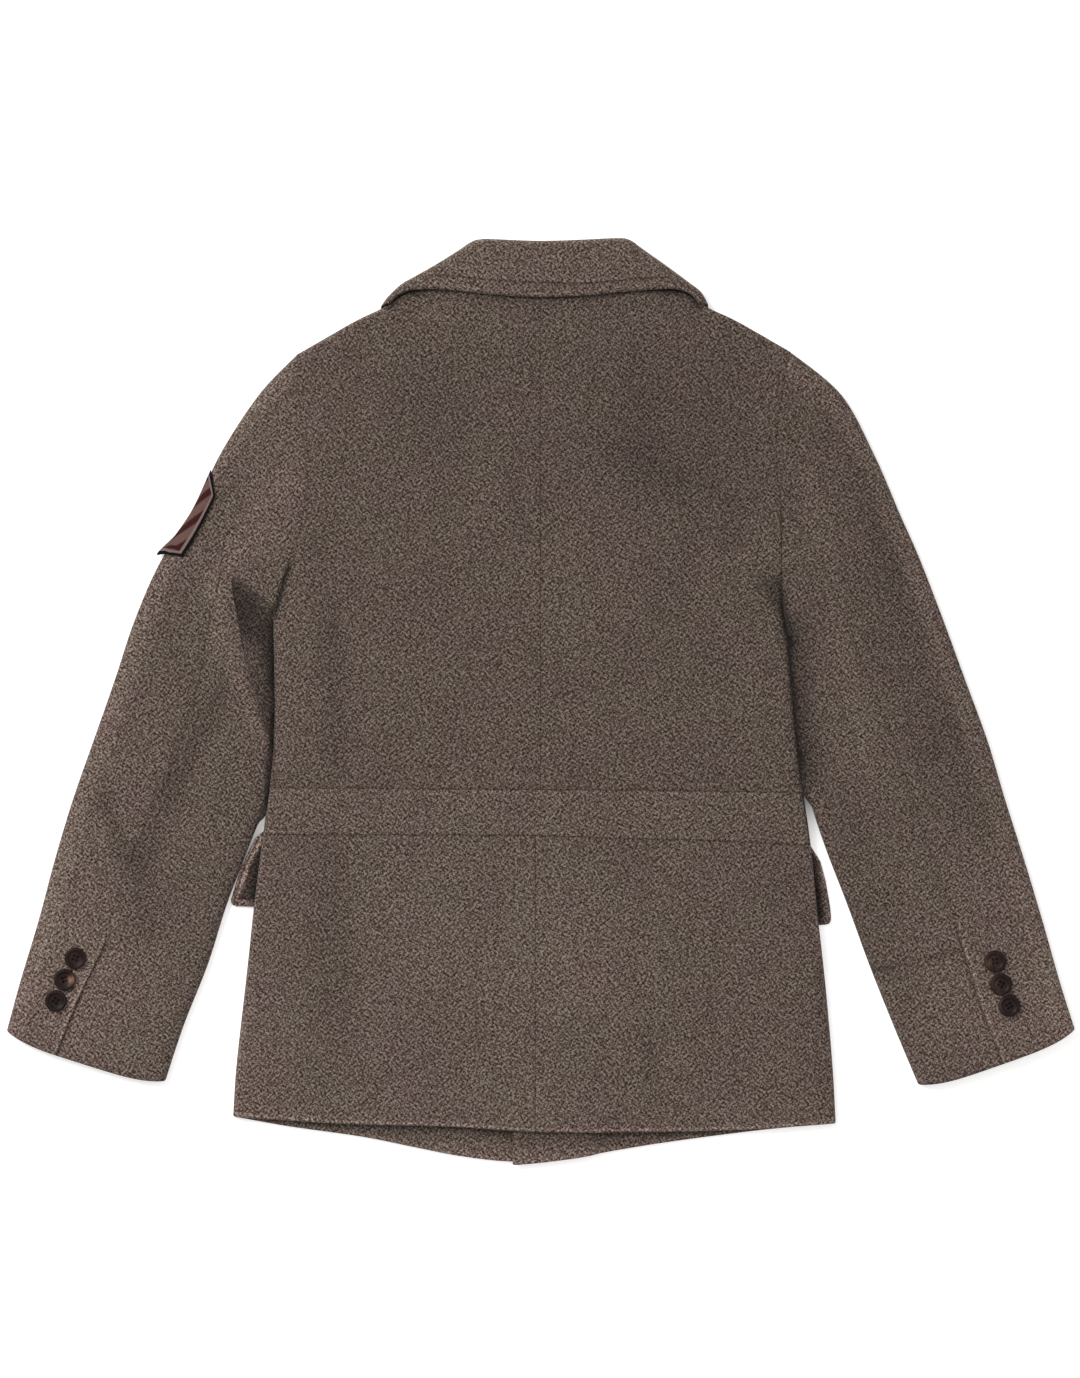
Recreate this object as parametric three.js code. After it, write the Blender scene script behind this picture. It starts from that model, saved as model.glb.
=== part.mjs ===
// Child's tweed coat laid flat on its front, with its back up.
// Millimetres. Z is up from the surface it lies on, Y points to the collar and X to the wearer's right.
// Every panel is a cloth wall. The layers lie on each other: flaps and lapels, fronts, back, collar.

import * as THREE from 'three';

// Cloth walls and layering
const SEAM_GAP = 0.3;
const FRONT_WALL = 2.8;
const BACK_WALL = 2.6;
const BAND_EXTRA = 0.4;
const SLEEVE_WALL = 2.6;
const UNDER_WALL = 2.4;
const PATCH_WALL = 1.2;
const PATCH_LIFT = 0.75;
const PATCH_LOW_ANGLE = -0.5;
const CROWN_INNER = 6.3;
const EDGE_FACE = 1.0;
const EDGE_ROUND = 11;
const HEM_SETTLE = 46;
const HEM_LOW = 0.35;
const CARRY_MARGIN = 15;
const CARRY_RAMP = 12;
const WALL_PRESSED = 1.4;
const OPEN_FOLD_LIMIT = 0.1;
const NEAR = 9;
const EDGE_REACH = 26;
const OVERLAP_REACH = 20;
const OVERLAP_RAMP = 16;

// Driving lines of the body
const CENTRE_BACK = 0;
const CENTRE_SKIRT = -3.5;
const LEFT_FRONT_EDGE = 11;
const RIGHT_FRONT_EDGE = -18.6;
const BREAK_Y = 90;
const CROSSING_Y = 132;
const NECK_Y = 289;
const BELOW_HEM_Y = -340;

// Buttons
const CUFF_BUTTON_RADIUS = 7.6;
const FRONT_BUTTON_RADIUS = 10;
const BUTTON_THICKNESS = 3.0;
const FRONT_BUTTON_THICKNESS = 2.4;

// Fineness of the curves and of the panels' grids
const ARC_DIVISIONS = 400;
const SEARCH_STEPS = 40;
const EDGE_PIECES = 24;
const UPPER_BACK_PIECES = 18;
const BAND_PIECES = 3;
const SKIRT_PIECES = 11;
const FRONT_PIECES = { across: 10, along: 34 };
const STAND_PIECES = { across: 8, along: 4 };

// Colours of the photo's cloth and trim
const COLOURS = { cloth: 0x655850, clothBand: 0x6a5d55, horn: 0x2a1a17, patch: 0x6b5552 };

function table(columns, rows) {
  return rows.map((row) => Object.fromEntries(columns.map((name, i) => [name, row[i]])));
}

const SIDE_LEFT = table(['x', 'y'], [
  [-186.6, 62], [-185.6, -13.5], [-188, -48.5], [-191.7, -80], [-198.5, -132.5],
  [-205.5, -195.5], [-212.5, -258.5], [-214.5, -290],
]);
const SIDE_RIGHT = table(['x', 'y'], [
  [169.6, 66], [173, 41], [178.2, -21], [181.2, -48.5], [188.5, -101.5],
  [193.8, -154], [198.5, -195.5], [204, -258.5], [206, -294.7],
]);
const ARMHOLE_LEFT = table(['x', 'y'], [
  [-186.6, 62], [-181.7, 76.3], [-176.1, 96.6], [-171.9, 109.2], [-167.7, 120.7],
  [-163.5, 147.7], [-164.2, 175.7], [-168.4, 210.7], [-170.5, 242.2],
]);
const ARMHOLE_RIGHT = table(['x', 'y'], [
  [169.6, 66], [169.1, 89.6], [168.4, 135.8], [165.6, 165.9], [166.3, 192.5], [174.7, 244.3],
]);
const SHOULDER_LEFT = table(['x', 'y'], [
  [-170.5, 242.2], [-127.8, 266.4], [-113, 273.4], [-102, 280], [-92, 287], [-81.6, 292], [-72, 292],
]);
const SHOULDER_RIGHT = table(['x', 'y'], [
  [174.7, 244.3], [135.5, 266.4], [119, 274], [108, 280.4], [97, 287.2], [86, 292], [76, 292],
]);
const WAIST_TOP = table(['x', 'y'], [[-189, -61.2], [0, -62.3], [110, -63.3], [182.4, -64.5]]);
const WAIST_LOW = table(['x', 'y'], [[-193.2, -93.2], [0, -94], [60, -96], [120, -97.4], [188.2, -100.6]]);
const HEM_BACK = table(['x', 'y'], [
  [-214.5, -290], [-137.9, -294.8], [-61.6, -297], [0, -300.5],
  [100.8, -300.2], [159.6, -298], [206, -294.7],
]);
const HEM_FRONT_LEFT = table(['x', 'y'], [
  [-214.5, -290], [-177, -296.6], [-122.5, -304.4], [-86, -311.8],
  [-56, -317.6], [-19.3, -321.4], [11, -318.8],
]);
const HEM_FRONT_RIGHT = table(['x', 'y'], [
  [-18.6, -323.9], [0, -322.2], [31.5, -318], [42, -315.6],
  [86.1, -308.2], [159.6, -298.8], [206, -294.7],
]);

// Flaps and lapels lie under the fronts. Each is a flat outline.
const FLAP_LEFT = table(['x', 'y'], [
  [-199.6, -96.4], [-194.6, -91.8], [-92, -94.5], [-90.5, -97], [-96, -142.4], [-99, -144.8],
  [-197, -143.9], [-212.4, -143.6], [-215.2, -142.7], [-216.4, -139.9], [-209.5, -117],
]);
const FLAP_RIGHT = table(['x', 'y'], [
  [188.9, -102], [195.2, -111.8], [199, -125.5], [202.2, -144], [203, -153], [201.2, -156.4],
  [190, -157.2], [95, -156.2], [91.5, -153.5], [85.5, -109], [88, -106.5],
]);
const LAPEL_LEFT = table(['x', 'y'], [[-11, 147], [-52.5, 262], [-92, 236], [-112, 222], [-62, 166]]);
const LAPEL_RIGHT = table(['x', 'y'], [[5, 147], [60, 166], [112, 222], [92, 236], [51.5, 262]]);

// Collar: one row a section, from the left tip to the right tip.
// roll is the folded upper edge, edge the free lower edge, leaf how far the front end runs back below.
const COLLAR = table(['rollX', 'rollY', 'edgeX', 'edgeY', 'leaf', 'wall'], [
  [-111.2, 276.8, -104.6, 277.8, 9, 1.8], [-106.4, 283.2, -100.4, 282.2, 20, 2.2],
  [-97.6, 291.4, -92, 286.4, 36, 2.7], [-88, 297, -85, 288.2, 44, 3], [-78, 302.6, -77, 288.6, 48, 3],
  [-68, 308.5, -68, 288.2, 48, 3], [-56, 316.2, -57, 287.2, 45, 3], [-47.6, 321.6, -48, 286.2, 40, 3],
  [-40, 323.2, -40, 285.4, 24, 3], [-30, 323, -30, 284.4, 9, 3], [0, 321.9, 0, 282.9, 8, 3],
  [30, 322.8, 30, 284, 9, 3], [52, 323.8, 50, 285.8, 24, 3], [62, 322.8, 60, 286.8, 40, 3],
  [72, 315.8, 70, 287.6, 45, 3], [84, 307.4, 81, 288.4, 48, 3], [95, 299.4, 91, 288.6, 46, 3],
  [103, 293.4, 97.5, 287, 38, 2.7], [112, 286.4, 106, 283, 22, 2.2],
  [117, 278.2, 110.4, 277.8, 9, 1.8],
]);

// Sleeves: one row a section, from the armhole to the cuff, laid out by its two folded edges.
// web is how far the lower layer reaches past the inner edge, seam the elbow seam's place across the top.
const SLEEVE_COLUMNS = [
  'outerX', 'outerY', 'innerX', 'innerY', 'webX', 'webY', 'seam', 'height', 'innerRound',
];
const SLEEVE_LEFT = table(SLEEVE_COLUMNS, [
  [-170.5, 242.2, -187.2, 62.6, -187.4, 62.2, 0.62, 9.0, 9],
  [-197.1, 214.2, -195.5, 70, -187, 57, 0.61, 9.0, 9],
  [-224.4, 172.2, -214.5, 82, -186.8, 46, 0.6, 9.0, 9],
  [-243.3, 131.5, -209.5, 50, -186.6, 28, 0.57, 8.8, 8],
  [-266.2, 97, -202, 18, -186.3, 8, 0.54, 8.6, 8],
  [-283.9, 56.7, -192.8, -12, -186.2, -16, 0.51, 8.6, 10],
  [-297.9, 14.7, -188.3, -41, -188.1, -41.2, 0.48, 8.6, 13],
  [-312.6, -27.3, -191.3, -68, -191.1, -68.2, 0.455, 8.6, 12],
  [-327.3, -69.3, -204.4, -103, -204.2, -103.2, 0.43, 8.6, 11],
  [-339.9, -111.3, -219.6, -143, -219.4, -143.2, 0.41, 8.5, 11],
  [-351.1, -153.3, -232.6, -184, -232.4, -184.2, 0.39, 8.4, 11],
  [-363.7, -195.3, -249.2, -226, -249, -226.2, 0.345, 8.2, 10],
  [-373.2, -230, -262.2, -265, -262, -265.2, 0.31, 8.0, 9],
]);
const SLEEVE_RIGHT = table(SLEEVE_COLUMNS, [
  [174.7, 244.3, 170.4, 66.4, 170.2, 66.2, 0.62, 9.0, 10],
  [210.4, 214.2, 171.3, 57, 171.1, 56.8, 0.61, 9.0, 14],
  [233.5, 172.2, 173.4, 42, 173.2, 41.8, 0.6, 9.0, 19],
  [251.7, 130.2, 175.1, 26, 174.9, 25.8, 0.57, 8.8, 22],
  [265.2, 99.7, 176.7, 8, 176.5, 7.8, 0.54, 8.6, 23],
  [281.8, 56.7, 178.7, -15, 178.5, -15.2, 0.51, 8.6, 23],
  [297.2, 14.7, 181.1, -41, 180.9, -41.2, 0.48, 8.6, 19],
  [312.6, -27.3, 188.2, -69, 188, -69.2, 0.47, 8.6, 14],
  [325.2, -69.3, 199.8, -104, 199.6, -104.2, 0.465, 8.6, 11],
  [338.5, -111.3, 214.8, -143, 214.6, -143.2, 0.46, 8.5, 11],
  [351.1, -153.3, 229.8, -184, 229.6, -184.2, 0.458, 8.4, 11],
  [363, -195.3, 246.5, -226, 246.3, -226.2, 0.463, 8.2, 10],
  [373.6, -229, 264, -267.6, 263.8, -267.8, 0.46, 8.0, 9],
]);
const CUFF_BOW = 6;
const CUFF_BOW_SECTIONS = 1.6;
const ARMHOLE_SECTIONS = 2.4;
const OUTER_ROUND = 12;
const FLOOR_ROUND = 2.6;
const FOLD_MIDDLE = 3.4;
const FOREARM_SEAM = 0.8;

// Cuff buttons and front buttons, by their centres
const CUFF_BUTTONS = table(['side', 'x', 'y'], [
  ['left', -325, -179.8], ['left', -332.5, -194.8], ['left', -338.6, -209.6],
  ['right', 317.7, -182], ['right', 321.9, -198], ['right', 327.6, -213],
]);
const FRONT_BUTTONS = table(['x', 'y'], [[-3.8, 62], [-3.8, -28], [-3.8, -118]]);

// Patch on the outer edge of the left sleeve: sections run down the sleeve, inset is its reach on the back.
const PATCH = table(['section', 'inset'], [
  [2.3, 17], [2.5, 15.3], [2.75, 13.4], [3, 12.2], [3.25, 12.2], [3.5, 12.4], [3.57, 12.6],
  [3.64, 9.3], [3.72, 5.4], [3.8, 1.5],
]);

// Largest folds: a line, the half width of the fold across it, and its height or depth.
const FOLDS = table(['x0', 'y0', 'x1', 'y1', 'width', 'height'], [
  [-178, 150, -222, 88, 11, 1.0],
  [-224, 80, -212, 34, 6, 0.9],
  [-221, 8, -249, -48, 10, -1.2],
  [-249, -48, -273, -118, 11, -1.0],
  [-305, -62, -287, -111, 9, -0.8],
  [-287, -111, -275, -150, 9, -0.6],
  [192, 150, 231, -41, 12, 0.8],
  [224, 155, 245, 78, 11, -0.9],
  [238, 43, 273, -41, 12, -1.1],
  [273, -41, 315, -111, 12, -0.8],
  [-168, 85, -168, -45, 9, 0.5],
  [-140, 43, -140, -50, 10, -0.7],
  [-138, -111, -133, -237, 11, -0.7],
  [70, 238, 70, 150, 10, -0.5],
  [77, -209, 77, -262, 10, -0.5],
  [159, 84, 162, 70, 6, -1.4],
]);

const clamp01 = (value) => Math.min(1, Math.max(0, value));
const mix = (a, b, t) => a + (b - a) * t;
const smooth = (value) => clamp01(value) ** 2 * (3 - 2 * clamp01(value));
const quarterRound = (value) => Math.sqrt(1 - (1 - clamp01(value)) ** 2);
const mixPoint = (a, b, t) => ({ x: mix(a.x, b.x, t), y: mix(a.y, b.y, t) });

// A smooth curve through the rows of a table, by its share of length.
function curveThrough(rows) {
  const points = rows.map((row) => new THREE.Vector3(row.x, row.y, 0));
  const curve = new THREE.CatmullRomCurve3(points, false, 'centripetal');
  curve.arcLengthDivisions = ARC_DIVISIONS;
  return (t) => curve.getPointAt(clamp01(t));
}

function joinedCurves(first, second, share) {
  return (t) => (t < share ? first(t / share) : second((t - share) / (1 - share)));
}

const reversed = (curve) => (t) => curve(1 - t);
const straight = (a, b) => (t) => mixPoint(a, b, t);
const cut = (curve, from, to) => (t) => curve(mix(from, to, t));

// Share of a curve's length at which it reaches a given x or y.
function shareWhere(curve, axis, value) {
  let low = 0;
  let high = 1;
  const rising = curve(1)[axis] > curve(0)[axis];
  for (let step = 0; step < SEARCH_STEPS; step += 1) {
    const middle = (low + high) / 2;
    if (curve(middle)[axis] < value === rising) low = middle;
    else high = middle;
  }
  return (low + high) / 2;
}

function polylineOf(curve, pieces) {
  return Array.from({ length: pieces + 1 }, (_, i) => curve(i / pieces));
}

function distanceToSegment(x, y, a, b) {
  const dx = b.x - a.x;
  const dy = b.y - a.y;
  const t = clamp01(((x - a.x) * dx + (y - a.y) * dy) / (dx * dx + dy * dy));
  return Math.hypot(x - a.x - t * dx, y - a.y - t * dy);
}

function distanceToLine(line, x, y) {
  let best = Infinity;
  for (let i = 1; i < line.length; i += 1) {
    best = Math.min(best, distanceToSegment(x, y, line[i - 1], line[i]));
  }
  return best;
}

// Distance outside a closed outline, zero inside it.
function distanceOutside(outline, x, y) {
  let inside = false;
  let best = Infinity;
  outline.forEach((b, i) => {
    const a = outline[(i + outline.length - 1) % outline.length];
    if (a.y > y !== b.y > y && x < a.x + ((y - a.y) / (b.y - a.y)) * (b.x - a.x)) inside = !inside;
    best = Math.min(best, distanceToSegment(x, y, a, b));
  });
  return inside ? 0 : best;
}

function foldHeight(x, y) {
  let height = 0;
  for (const fold of FOLDS) {
    const away = distanceToSegment(x, y, { x: fold.x0, y: fold.y0 }, { x: fold.x1, y: fold.y1 });
    height += fold.height * Math.exp(-((away / fold.width) ** 2));
  }
  return height;
}

// Curves of the body, all running from the hem up or from left to right
const sideLeft = reversed(curveThrough(SIDE_LEFT));
const sideRight = reversed(curveThrough(SIDE_RIGHT));
const armholeLeft = curveThrough(ARMHOLE_LEFT);
const armholeRight = curveThrough(ARMHOLE_RIGHT);
const shoulderLeft = curveThrough(SHOULDER_LEFT);
const shoulderRight = curveThrough(SHOULDER_RIGHT);
const waistTop = curveThrough(WAIST_TOP);
const waistLow = curveThrough(WAIST_LOW);
const hemBack = curveThrough(HEM_BACK);

const foldEdges = [sideLeft, sideRight, shoulderLeft, shoulderRight]
  .map((curve) => polylineOf(curve, EDGE_PIECES));
const hemLine = polylineOf(hemBack, EDGE_PIECES);
const edgeDistance = (x, y) => Math.min(...foldEdges.map((line) => distanceToLine(line, x, y)));

// How far what lies below carries a front: full near the carried outline, then a ramp to the floor.
function carry(outline, thickness, x, y) {
  const away = distanceOutside(outline, x, y) - CARRY_MARGIN;
  return (thickness + SEAM_GAP) * (1 - smooth(away / CARRY_RAMP));
}

function buttonCarry(x, y) {
  let height = 0;
  for (const button of FRONT_BUTTONS) {
    const away = Math.hypot(x - button.x, y - button.y) - FRONT_BUTTON_RADIUS - CARRY_MARGIN;
    height = Math.max(height, (FRONT_BUTTON_THICKNESS + SEAM_GAP) * (1 - smooth(away / CARRY_RAMP)));
  }
  return height;
}

// Outline of each collar end below the fronts
function leafOutline(rows) {
  const ends = rows.map((row) => ({ x: row.rollX, y: row.rollY - row.leaf }));
  return [...rows.map((row) => ({ x: row.rollX, y: row.rollY })), ...ends.reverse()];
}
const LEAF_LEFT = leafOutline(COLLAR.slice(0, 10));
const LEAF_RIGHT = leafOutline(COLLAR.slice(11));

// Where the right front lies on the left one
const OVERLAP_MIDDLE = (LEFT_FRONT_EDGE + RIGHT_FRONT_EDGE) / 2;
const OVERLAP_WEST = RIGHT_FRONT_EDGE - OVERLAP_REACH;
const OVERLAP_EAST = LEFT_FRONT_EDGE + OVERLAP_REACH;
const OVERLAP = table(['x', 'y'], [
  [OVERLAP_WEST, BELOW_HEM_Y], [OVERLAP_EAST, BELOW_HEM_Y], [OVERLAP_EAST, BREAK_Y],
  [OVERLAP_MIDDLE, CROSSING_Y], [OVERLAP_WEST, CROSSING_Y],
]);

function carriedByTrim(outlines, x, y) {
  return Math.max(...outlines.map((outline) => carry(outline, UNDER_WALL, x, y)));
}

const TRIM_LEFT = [FLAP_LEFT, LAPEL_LEFT, LEAF_LEFT];
const TRIM_RIGHT = [FLAP_RIGHT, LAPEL_RIGHT, LEAF_RIGHT];

function leftFrontLow(x, y) {
  return Math.max(carriedByTrim(TRIM_LEFT, x, y), buttonCarry(x, y));
}

// The left front is pressed thinner over the buttons.
function leftFrontHigh(x, y) {
  return Math.max(carriedByTrim(TRIM_LEFT, x, y) + FRONT_WALL, buttonCarry(x, y) + WALL_PRESSED);
}

// Highest value of a surface close to a point, so that a layer above clears it between its own points
function highestNear(surface, x, y) {
  const steps = [[0, 0], [NEAR, 0], [-NEAR, 0], [0, NEAR], [0, -NEAR]];
  return Math.max(...steps.map(([dx, dy]) => surface(x + dx, y + dy)));
}

function rightFrontLow(x, y) {
  const away = distanceOutside(OVERLAP, x, y) / OVERLAP_RAMP;
  const overLeft = (highestNear(leftFrontHigh, x, y) + SEAM_GAP) * (1 - smooth(away));
  return Math.max(carriedByTrim(TRIM_RIGHT, x, y), overLeft);
}

function rightFrontHigh(x, y) {
  const low = rightFrontLow(x, y);
  return Math.min(low + FRONT_WALL, Math.max(CROWN_INNER - SEAM_GAP, low + WALL_PRESSED));
}

// The back lies on the fronts at its edges and stands a little off them in between.
function backFloor(x, y) {
  const left = x < LEFT_FRONT_EDGE + EDGE_REACH ? highestNear(leftFrontHigh, x, y) : 0;
  const right = x > RIGHT_FRONT_EDGE - EDGE_REACH ? highestNear(rightFrontHigh, x, y) : 0;
  return Math.max(left, right) + SEAM_GAP;
}

function backCrown(x, y) {
  const floor = backFloor(x, y);
  const settle = mix(HEM_LOW, 1, smooth(distanceToLine(hemLine, x, y) / HEM_SETTLE));
  return Math.max(floor, floor + (CROWN_INNER - floor) * settle);
}

function backInner(x, y) {
  const floor = backFloor(x, y);
  const share = quarterRound((edgeDistance(x, y) - BACK_WALL) / (EDGE_ROUND - BACK_WALL));
  const fold = Math.min(OPEN_FOLD_LIMIT, foldHeight(x, y)) * smooth(share);
  return Math.max(floor, floor + (backCrown(x, y) - floor) * share + fold);
}

function backOuter(x, y) {
  const foot = backFloor(x, y) + EDGE_FACE;
  const share = quarterRound(edgeDistance(x, y) / EDGE_ROUND);
  const top = foot + (backCrown(x, y) + BACK_WALL - foot) * share + foldHeight(x, y) * smooth(share);
  return Math.max(top, backInner(x, y) + EDGE_FACE);
}

// Closed solid between two grids of points of the same size
function wallGeometry(outer, inner) {
  const last = outer.length - 1;
  const end = outer[0].length - 1;
  const top = (i, k) => i * (end + 1) + k;
  const low = (i, k) => (last + 1) * (end + 1) + top(i, k);
  const index = [];
  const quad = (a, b, c, d) => index.push(a, b, c, a, c, d);
  for (let i = 0; i < last; i += 1) {
    for (let k = 0; k < end; k += 1) {
      quad(top(i, k), top(i + 1, k), top(i + 1, k + 1), top(i, k + 1));
      quad(low(i, k), low(i, k + 1), low(i + 1, k + 1), low(i + 1, k));
    }
    quad(top(i + 1, 0), top(i, 0), low(i, 0), low(i + 1, 0));
    quad(top(i, end), top(i + 1, end), low(i + 1, end), low(i, end));
  }
  for (let k = 0; k < end; k += 1) {
    quad(top(0, k), top(0, k + 1), low(0, k + 1), low(0, k));
    quad(top(last, k + 1), top(last, k), low(last, k), low(last, k + 1));
  }
  const points = [...outer.flat(), ...inner.flat()];
  return closedGeometry(points, index);
}

// Indexed geometry with its faces turned outwards
function closedGeometry(points, index) {
  let volume = 0;
  const a = new THREE.Vector3();
  const b = new THREE.Vector3();
  const c = new THREE.Vector3();
  for (let i = 0; i < index.length; i += 3) {
    a.copy(points[index[i]]);
    b.copy(points[index[i + 1]]);
    c.copy(points[index[i + 2]]);
    volume += a.dot(b.cross(c));
  }
  const turned = volume < 0 ? [...index].reverse() : index;
  const geometry = new THREE.BufferGeometry();
  const numbers = points.flatMap((p) => [p.x, p.y, p.z]);
  geometry.setAttribute('position', new THREE.Float32BufferAttribute(numbers, 3));
  geometry.setIndex(turned);
  geometry.computeVertexNormals();
  return geometry;
}

function gridOf(surface, us, vs) {
  return us.map((u) => vs.map((v) => surface(u, v)));
}

function raise(grid, height) {
  return grid.map((line) => line.map((p) => new THREE.Vector3(p.x, p.y, height(p.x, p.y))));
}

// Panel between four edge curves, with a lower and an upper height at each point
function panelGeometry(edges, us, vs, lower, upper) {
  const { bottom, top, left, right } = edges;
  const [low0, low1, high0, high1] = [bottom(0), bottom(1), top(0), top(1)];
  const surface = (u, v) => {
    const low = bottom(u);
    const high = top(u);
    const west = left(v);
    const east = right(v);
    const corner = (axis) => mix(mix(low0[axis], low1[axis], u), mix(high0[axis], high1[axis], u), v);
    return {
      x: mix(low.x, high.x, v) + mix(west.x, east.x, u) - corner('x'),
      y: mix(low.y, high.y, v) + mix(west.y, east.y, u) - corner('y'),
    };
  };
  const grid = gridOf(surface, us, vs);
  return wallGeometry(raise(grid, upper), raise(grid, lower));
}

const even = (pieces) => Array.from({ length: pieces + 1 }, (_, i) => i / pieces);
const crowdedAtStart = [0, 0.015, 0.045, 0.1, 0.2, 0.32, 0.44, 0.56, 0.7, 0.85, 1];
const crowdedAtEnd = crowdedAtStart.map((u) => 1 - u).reverse();
const crowdedAtBoth = [0, 0.008, 0.022, 0.05, 0.1, 0.16, 0.22, 0.3, 0.4, 0.5];
const bothEnds = [...crowdedAtBoth, ...crowdedAtBoth.slice(0, -1).map((u) => 1 - u).reverse()];

// Move a whole edge curve by a small step, so that panels keep their seam gap.
const shifted = (curve, dx, dy) => (t) => {
  const p = curve(t);
  return { x: p.x + dx, y: p.y + dy };
};
const HALF_GAP = SEAM_GAP / 2;

const ARMHOLE_FROM = 0.4;
const NECK_FROM = 0.6;
const FRONT_ARMHOLE_FROM = 0.64;
const FRONT_BREAK_AT = 0.66;
const FRONT_ARMHOLE_GAP = 1.5;

function upperBackGeometry(side) {
  const isLeft = side === 'left';
  const sideCurve = isLeft ? sideLeft : sideRight;
  const armhole = isLeft ? armholeLeft : armholeRight;
  const shoulder = isLeft ? shoulderLeft : shoulderRight;
  const waistAt = shareWhere(waistTop, 'x', CENTRE_BACK);
  const fromWaist = shareWhere(sideCurve, 'y', isLeft ? WAIST_TOP[0].y : WAIST_TOP[3].y);
  const inward = isLeft ? HALF_GAP : -HALF_GAP;
  const outerEdge = shifted(joinedCurves(cut(sideCurve, fromWaist, 1), armhole, ARMHOLE_FROM), inward, 0);
  const neckEnd = { x: CENTRE_BACK - inward, y: NECK_Y };
  const neck = straight(shoulder(1), neckEnd);
  const upperEdge = joinedCurves(shoulder, neck, NECK_FROM);
  const waist = isLeft ? cut(waistTop, 0, waistAt) : cut(waistTop, 1, waistAt);
  const lowerEdge = shifted(waist, -inward, HALF_GAP);
  const centre = straight(lowerEdge(1), neckEnd);
  const fixedOuter = (v) => (v === 0 ? lowerEdge(0) : v === 1 ? upperEdge(0) : outerEdge(v));
  const edges = { bottom: lowerEdge, top: upperEdge, left: fixedOuter, right: centre };
  return panelGeometry(edges, crowdedAtStart, even(UPPER_BACK_PIECES), backInner, backOuter);
}

function waistbandGeometry() {
  const left = (v) => mixPoint(waistLow(0), waistTop(0), v);
  const right = (v) => mixPoint(waistLow(1), waistTop(1), v);
  const edges = {
    bottom: shifted(waistLow, 0, HALF_GAP),
    top: shifted(waistTop, 0, -HALF_GAP),
    left,
    right,
  };
  const upper = (x, y) => backOuter(x, y) + BAND_EXTRA * quarterRound(edgeDistance(x, y) / EDGE_ROUND);
  return panelGeometry(edges, bothEnds, even(BAND_PIECES), backInner, upper);
}

function skirtGeometry(side) {
  const isLeft = side === 'left';
  const sideCurve = isLeft ? sideLeft : sideRight;
  const inward = isLeft ? HALF_GAP : -HALF_GAP;
  const hemAt = shareWhere(hemBack, 'x', CENTRE_SKIRT);
  const waistAt = shareWhere(waistLow, 'x', CENTRE_SKIRT);
  const toWaist = shareWhere(sideCurve, 'y', isLeft ? WAIST_LOW[0].y : WAIST_LOW[4].y);
  const hem = shifted(cut(hemBack, isLeft ? 0 : 1, hemAt), -inward, 0);
  const waist = shifted(cut(waistLow, isLeft ? 0 : 1, waistAt), -inward, -HALF_GAP);
  const outer = cut(sideCurve, 0, toWaist);
  const fixedOuter = (v) => (v === 0 ? hem(0) : v === 1 ? waist(0) : outer(v));
  const edges = { bottom: hem, top: waist, left: fixedOuter, right: straight(hem(1), waist(1)) };
  return panelGeometry(edges, crowdedAtStart, even(SKIRT_PIECES), backInner, backOuter);
}

function frontGeometry(side) {
  const isLeft = side === 'left';
  const sideCurve = isLeft ? sideLeft : sideRight;
  const armhole = isLeft ? armholeLeft : armholeRight;
  const shoulder = isLeft ? shoulderLeft : shoulderRight;
  const edgeX = isLeft ? LEFT_FRONT_EDGE : RIGHT_FRONT_EDGE;
  const hem = isLeft ? curveThrough(HEM_FRONT_LEFT) : reversed(curveThrough(HEM_FRONT_RIGHT));
  const gap = isLeft ? FRONT_ARMHOLE_GAP : -FRONT_ARMHOLE_GAP;
  const outer = joinedCurves(sideCurve, shifted(armhole, gap, 0), FRONT_ARMHOLE_FROM);
  const neckPoint = shoulder(1);
  const frontEdge = straight(hem(1), { x: edgeX, y: BREAK_Y });
  const rollLine = straight({ x: edgeX, y: BREAK_Y }, neckPoint);
  const opening = joinedCurves(frontEdge, rollLine, FRONT_BREAK_AT);
  const fixedOuter = (v) => (v === 0 ? hem(0) : v === 1 ? shoulder(0) : outer(v));
  const edges = { bottom: hem, top: shoulder, left: fixedOuter, right: opening };
  const low = isLeft ? leftFrontLow : rightFrontLow;
  const high = isLeft ? leftFrontHigh : rightFrontHigh;
  return panelGeometry(edges, even(FRONT_PIECES.across), even(FRONT_PIECES.along), low, high);
}

// Flat piece cut from an outline and laid on the floor
function flatPieceGeometry(rows, thickness) {
  const shape = new THREE.Shape(rows.map((row) => new THREE.Vector2(row.x, row.y)));
  return new THREE.ExtrudeGeometry(shape, { depth: thickness, bevelEnabled: false, curveSegments: 4 });
}

// Smooth values between the rows of a section table
function sectionAt(rows, position) {
  const i = Math.min(rows.length - 2, Math.floor(position));
  const t = position - i;
  const pick = (k) => rows[Math.min(rows.length - 1, Math.max(0, k))];
  const value = (name) => {
    const [a, b, c, d] = [pick(i - 1)[name], pick(i)[name], pick(i + 1)[name], pick(i + 2)[name]];
    const bend = (2 * a - 5 * b + 4 * c - d) * t * t + (3 * b - a - 3 * c + d) * t ** 3;
    return 0.5 * (2 * b + (c - a) * t + bend);
  };
  return Object.fromEntries(Object.keys(rows[0]).map((name) => [name, value(name)]));
}

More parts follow.
